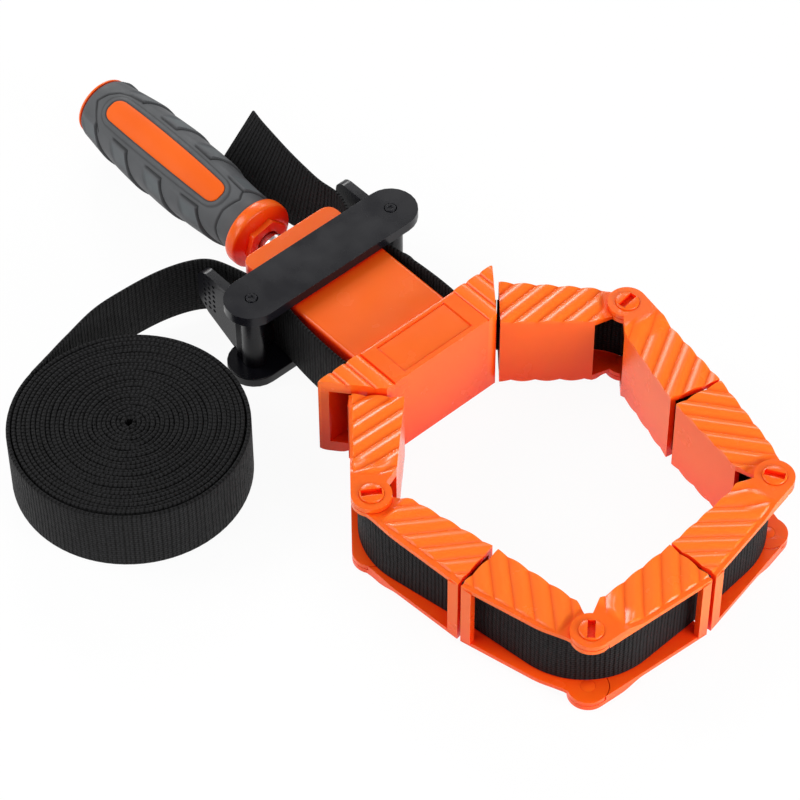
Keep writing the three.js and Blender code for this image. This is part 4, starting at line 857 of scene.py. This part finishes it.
def recalculated(obj, weld=0.0):
    bm = bmesh.new()
    bm.from_mesh(obj.data)
    if weld:
        bmesh.ops.remove_doubles(bm, verts=bm.verts[:], dist=weld)
    bmesh.ops.recalc_face_normals(bm, faces=bm.faces[:])
    bm.to_mesh(obj.data)
    bm.free()
    return obj


columns, rows = 252, 236
angles = np.linspace(-180, 180, columns + 1)[:-1]
along = np.concatenate([[GRIP_START, GRIP_START + 0.12, GRIP_START + 0.3],
                        np.linspace(GRIP_START + 0.6, GRIP_END - 0.6, rows - 6),
                        [GRIP_END - 0.3, GRIP_END - 0.12, GRIP_END]])
angle_grid, y_grid = np.meshgrid(angles, along)
relief, facet, lines = grip_relief(angle_grid, y_grid)
points = on_barrel(angle_grid, y_grid, grip_radius(y_grid) + relief)
inner_front = on_barrel(angles, np.full(columns, GRIP_START), np.full(columns, GRIP_BORE))
inner_back = on_barrel(angles, np.full(columns, GRIP_END), np.full(columns, GRIP_BORE))
verts = np.concatenate([inner_front, points.reshape(-1, 3), inner_back, inner_front])
grip = mesh_object("grip", (verts, grid_faces(rows + 3, columns, True)))
tone = np.zeros((len(verts), 4))
tone[columns:columns * (rows + 1), 0] = np.clip(-facet * 30, 0, 1).ravel()
# Green channel: painted shade in the grooves, border and seam.
tone[columns:columns * (rows + 1), 1] = np.clip(lines, 0, 1).ravel()
tone[:, 3] = 1
grip.data.color_attributes.new("tone", "FLOAT_COLOR", "POINT").data.foreach_set("color", tone.ravel())
recalculated(grip, 0.001)
dress(grip, GREY, "handle", ["handle_grip"], angle=60, weighted=False)

# The inlay's grid narrows to round ends and drops into the grip at its edge
inlay_rows = np.concatenate([1 - np.cos(np.linspace(0, math.pi / 2, 14))]) * INLAY_ROUND
inlay_y = np.concatenate([INLAY_Y - INLAY_HALF + inlay_rows, np.linspace(-25, 25, 24) + INLAY_Y,
                          INLAY_Y + INLAY_HALF - inlay_rows[::-1]])
inlay_y = np.unique(np.round(inlay_y, 4))
inlay_x = np.concatenate([[-1, -0.985, -0.95], np.linspace(-0.88, 0.88, 15), [0.95, 0.985, 1]])
into = np.clip((INLAY_HALF - np.abs(inlay_y - INLAY_Y)) / INLAY_ROUND, 0, 1)
wide = np.maximum(INLAY_WIDE * (1 - (1 - into) ** INLAY_HUMP) ** (1 / INLAY_HUMP), 0.05)
s_grid = inlay_x[None, :] * wide[:, None]
yy = np.repeat(inlay_y[:, None], len(inlay_x), 1)
inside = np.minimum(wide[:, None] - np.abs(s_grid), (INLAY_HALF - np.abs(yy - INLAY_Y)))
height = 0.42 * np.sqrt(np.clip(1 - (1 - np.clip(inside / 0.7, 0, 1)) ** 2, 0, 1)) - 0.12
surface = on_barrel(np.degrees(s_grid / INLAY_ARC), yy, grip_radius(yy) + height)
foot = on_barrel(np.degrees(s_grid / INLAY_ARC), yy, np.full_like(yy, INLAY_FOOT))
count = len(inlay_x)
total = len(inlay_y) * count
faces = grid_faces(len(inlay_y), count, False)
faces += [tuple(total + v for v in reversed(face)) for face in faces]
border = ([c for c in range(count)] + [r * count + count - 1 for r in range(1, len(inlay_y))]
          + [total - 1 - c for c in range(1, count)] + [r * count for r in range(len(inlay_y) - 2, 0, -1)])
faces += [(a, b, total + b, total + a) for a, b in zip(border, border[1:] + border[:1])]
inlay_points = np.concatenate([surface.reshape(-1, 3), foot.reshape(-1, 3)])
inlay = recalculated(mesh_object("inlay", (inlay_points, faces)))
dress(inlay, INLAY, "handle")

core = lathe([(0, 109), (4.3, 109), (4.3, 84), (8.6, 84), (12.3, 85.35), (12.75, 85.6), (13.05, 86.05), (13.15, 86.7),
              (13.2, 88), (13.1, 89.3), (12.85, 90.1), (12.3, 90.5), (11.5, 90.6), (10.5, 90.6), (7, 90.6),
              (7, 174.15), (11.1, 174.15), (11.3, 174.3), (11.35, 174.6), (11.25, 175), (10.9, 175.25), (10.2, 175.4),
              (0, 175.45)], 72, "Y")
dress(core, ORANGE, "handle", ["handle_core"])

NOSE_TURN, NOSE_SIDES = math.radians(14), math.radians(60)
nose_angles = np.linspace(0, 2 * math.pi, 145)[:-1]
six = 9.1 * math.cos(NOSE_SIDES / 2) / np.cos((nose_angles - NOSE_TURN) % NOSE_SIDES - NOSE_SIDES / 2)
rings = []
for widest, y in ((4.35, 86.3), (4.35, 82.2), (4.9, 81.7), (8.5, 81.7), (8.75, 81.85), (9.3, 82.6), (9.3, 86.3)):
    radius = np.minimum(six, widest) if widest > 5 else np.full_like(six, widest)
    rings.append(np.stack([radius * np.cos(nose_angles), np.full_like(six, y), MID + radius * np.sin(nose_angles)], -1))
nose_faces = grid_faces(len(rings), len(six), True)
last = (len(rings) - 1) * len(six)
nose_faces += [(last + k, last + (k + 1) % len(six), (k + 1) % len(six), k) for k in range(len(six))]
nose = recalculated(mesh_object("nose", (np.concatenate(rings), nose_faces)))
dress(nose, ORANGE, "handle")


# CAD nodes that keep their shape
def finish_node(name, material, bevel, angle=35, segments=2):
    obj = frame["nodes"][name]
    obj.data.materials.clear()
    obj.data.materials.append(material)
    weld = obj.modifiers.new("weld", "WELD")
    weld.merge_threshold = 0.000005
    flat = obj.modifiers.new("flat", "DECIMATE")
    flat.decimate_type = "DISSOLVE"
    flat.angle_limit = math.radians(0.5)
    shade(obj, bevel, segments, angle)


finish_node("slider_block", ORANGE, 0.9, segments=3)
for label in ("top", "bottom"):
    finish_node(f"yoke_{label}_plate", BLACK, 0.5, segments=3)
for label in ("left", "right"):
    finish_node(f"cam_lever_{label}", BLACK, 0.35)
    finish_node(f"lever_pin_{label}", BLACK, 0.15)
for name in ("spindle", "spindle_nut", "thrust_washer", "retaining_ring", "handle_pin"):
    finish_node(name, STEEL, 0.15)


# Floor and light
FLOOR_GLOW, AMBIENT = 0.94, 0.32


def stage_material(name):
    n = Nodes(name)
    path = n.add("ShaderNodeLightPath").outputs
    mirrored = n.math("MAXIMUM", path["Is Glossy Ray"], path["Is Transmission Ray"])
    seen = n.math("MAXIMUM", path["Is Camera Ray"], mirrored)
    diffuse = n.add("ShaderNodeBsdfDiffuse", {"Color": (0.9, 0.9, 0.9, 1)})
    glow = n.add("ShaderNodeEmission", {"Color": (1, 1, 1, 1), "Strength": 1.0})
    share = n.math("MULTIPLY", seen, FLOOR_GLOW)
    mixed = n.add("ShaderNodeMixShader", {0: share, 1: diffuse.outputs[0], 2: glow.outputs[0]})
    return n.finish(mixed.outputs[0])


FLOOR_HALF, FLOOR_Z = 4, -0.0002
corners = [(x * FLOOR_HALF, y * FLOOR_HALF, FLOOR_Z) for x, y in ((-1, -1), (1, -1), (1, 1), (-1, 1))]
floor = mesh_object("floor", (corners, [(0, 1, 2, 3)]))
floor.data.materials.append(stage_material("floor"))


def area_light(name, azimuth, elevation, distance, size, power):
    a, e = math.radians(azimuth), math.radians(elevation)
    away = Vector((math.sin(a) * math.cos(e), -math.cos(a) * math.cos(e), math.sin(e)))
    data = bpy.data.lights.new(name, "AREA")
    data.shape = "DISK"
    data.size = size
    data.energy = power
    obj = bpy.data.objects.new(name, data)
    bpy.context.scene.collection.objects.link(obj)
    obj.location = Vector((-0.01, 0.01, 0.0)) + away * distance
    obj.rotation_euler = away.to_track_quat("Z", "Y").to_euler()
    return obj


area_light("behind", -145, 40, 1.4, 0.6, 7)
area_light("front", 14, 16, 0.8, 0.45, 6)
area_light("high", -10, 60, 1.2, 0.5, 1.5)
area_light("left", -105, 25, 1.5, 0.8, 7)
area_light("rim", 150, 29, 1.5, 0.42, 6.4)
area_light("crest", 124, 36, 1.5, 0.35, 2.5)
world = bpy.data.worlds.new("studio")
world.use_nodes = True
bpy.context.scene.world = world
tree = world.node_tree
tree.nodes.clear()
path = tree.nodes.new("ShaderNodeLightPath")
ambient = tree.nodes.new("ShaderNodeBackground")
ambient.inputs["Color"].default_value = (1, 1, 1, 1)
ambient.inputs["Strength"].default_value = AMBIENT
white = tree.nodes.new("ShaderNodeBackground")
white.inputs["Strength"].default_value = 1.0
choose = tree.nodes.new("ShaderNodeMixShader")
world_output = tree.nodes.new("ShaderNodeOutputWorld")
tree.links.new(path.outputs["Is Camera Ray"], choose.inputs[0])
tree.links.new(ambient.outputs[0], choose.inputs[1])
tree.links.new(white.outputs[0], choose.inputs[2])
tree.links.new(choose.outputs[0], world_output.inputs[0])
bpy.context.scene.view_settings.view_transform = "Standard"

bpy.context.view_layer.update()
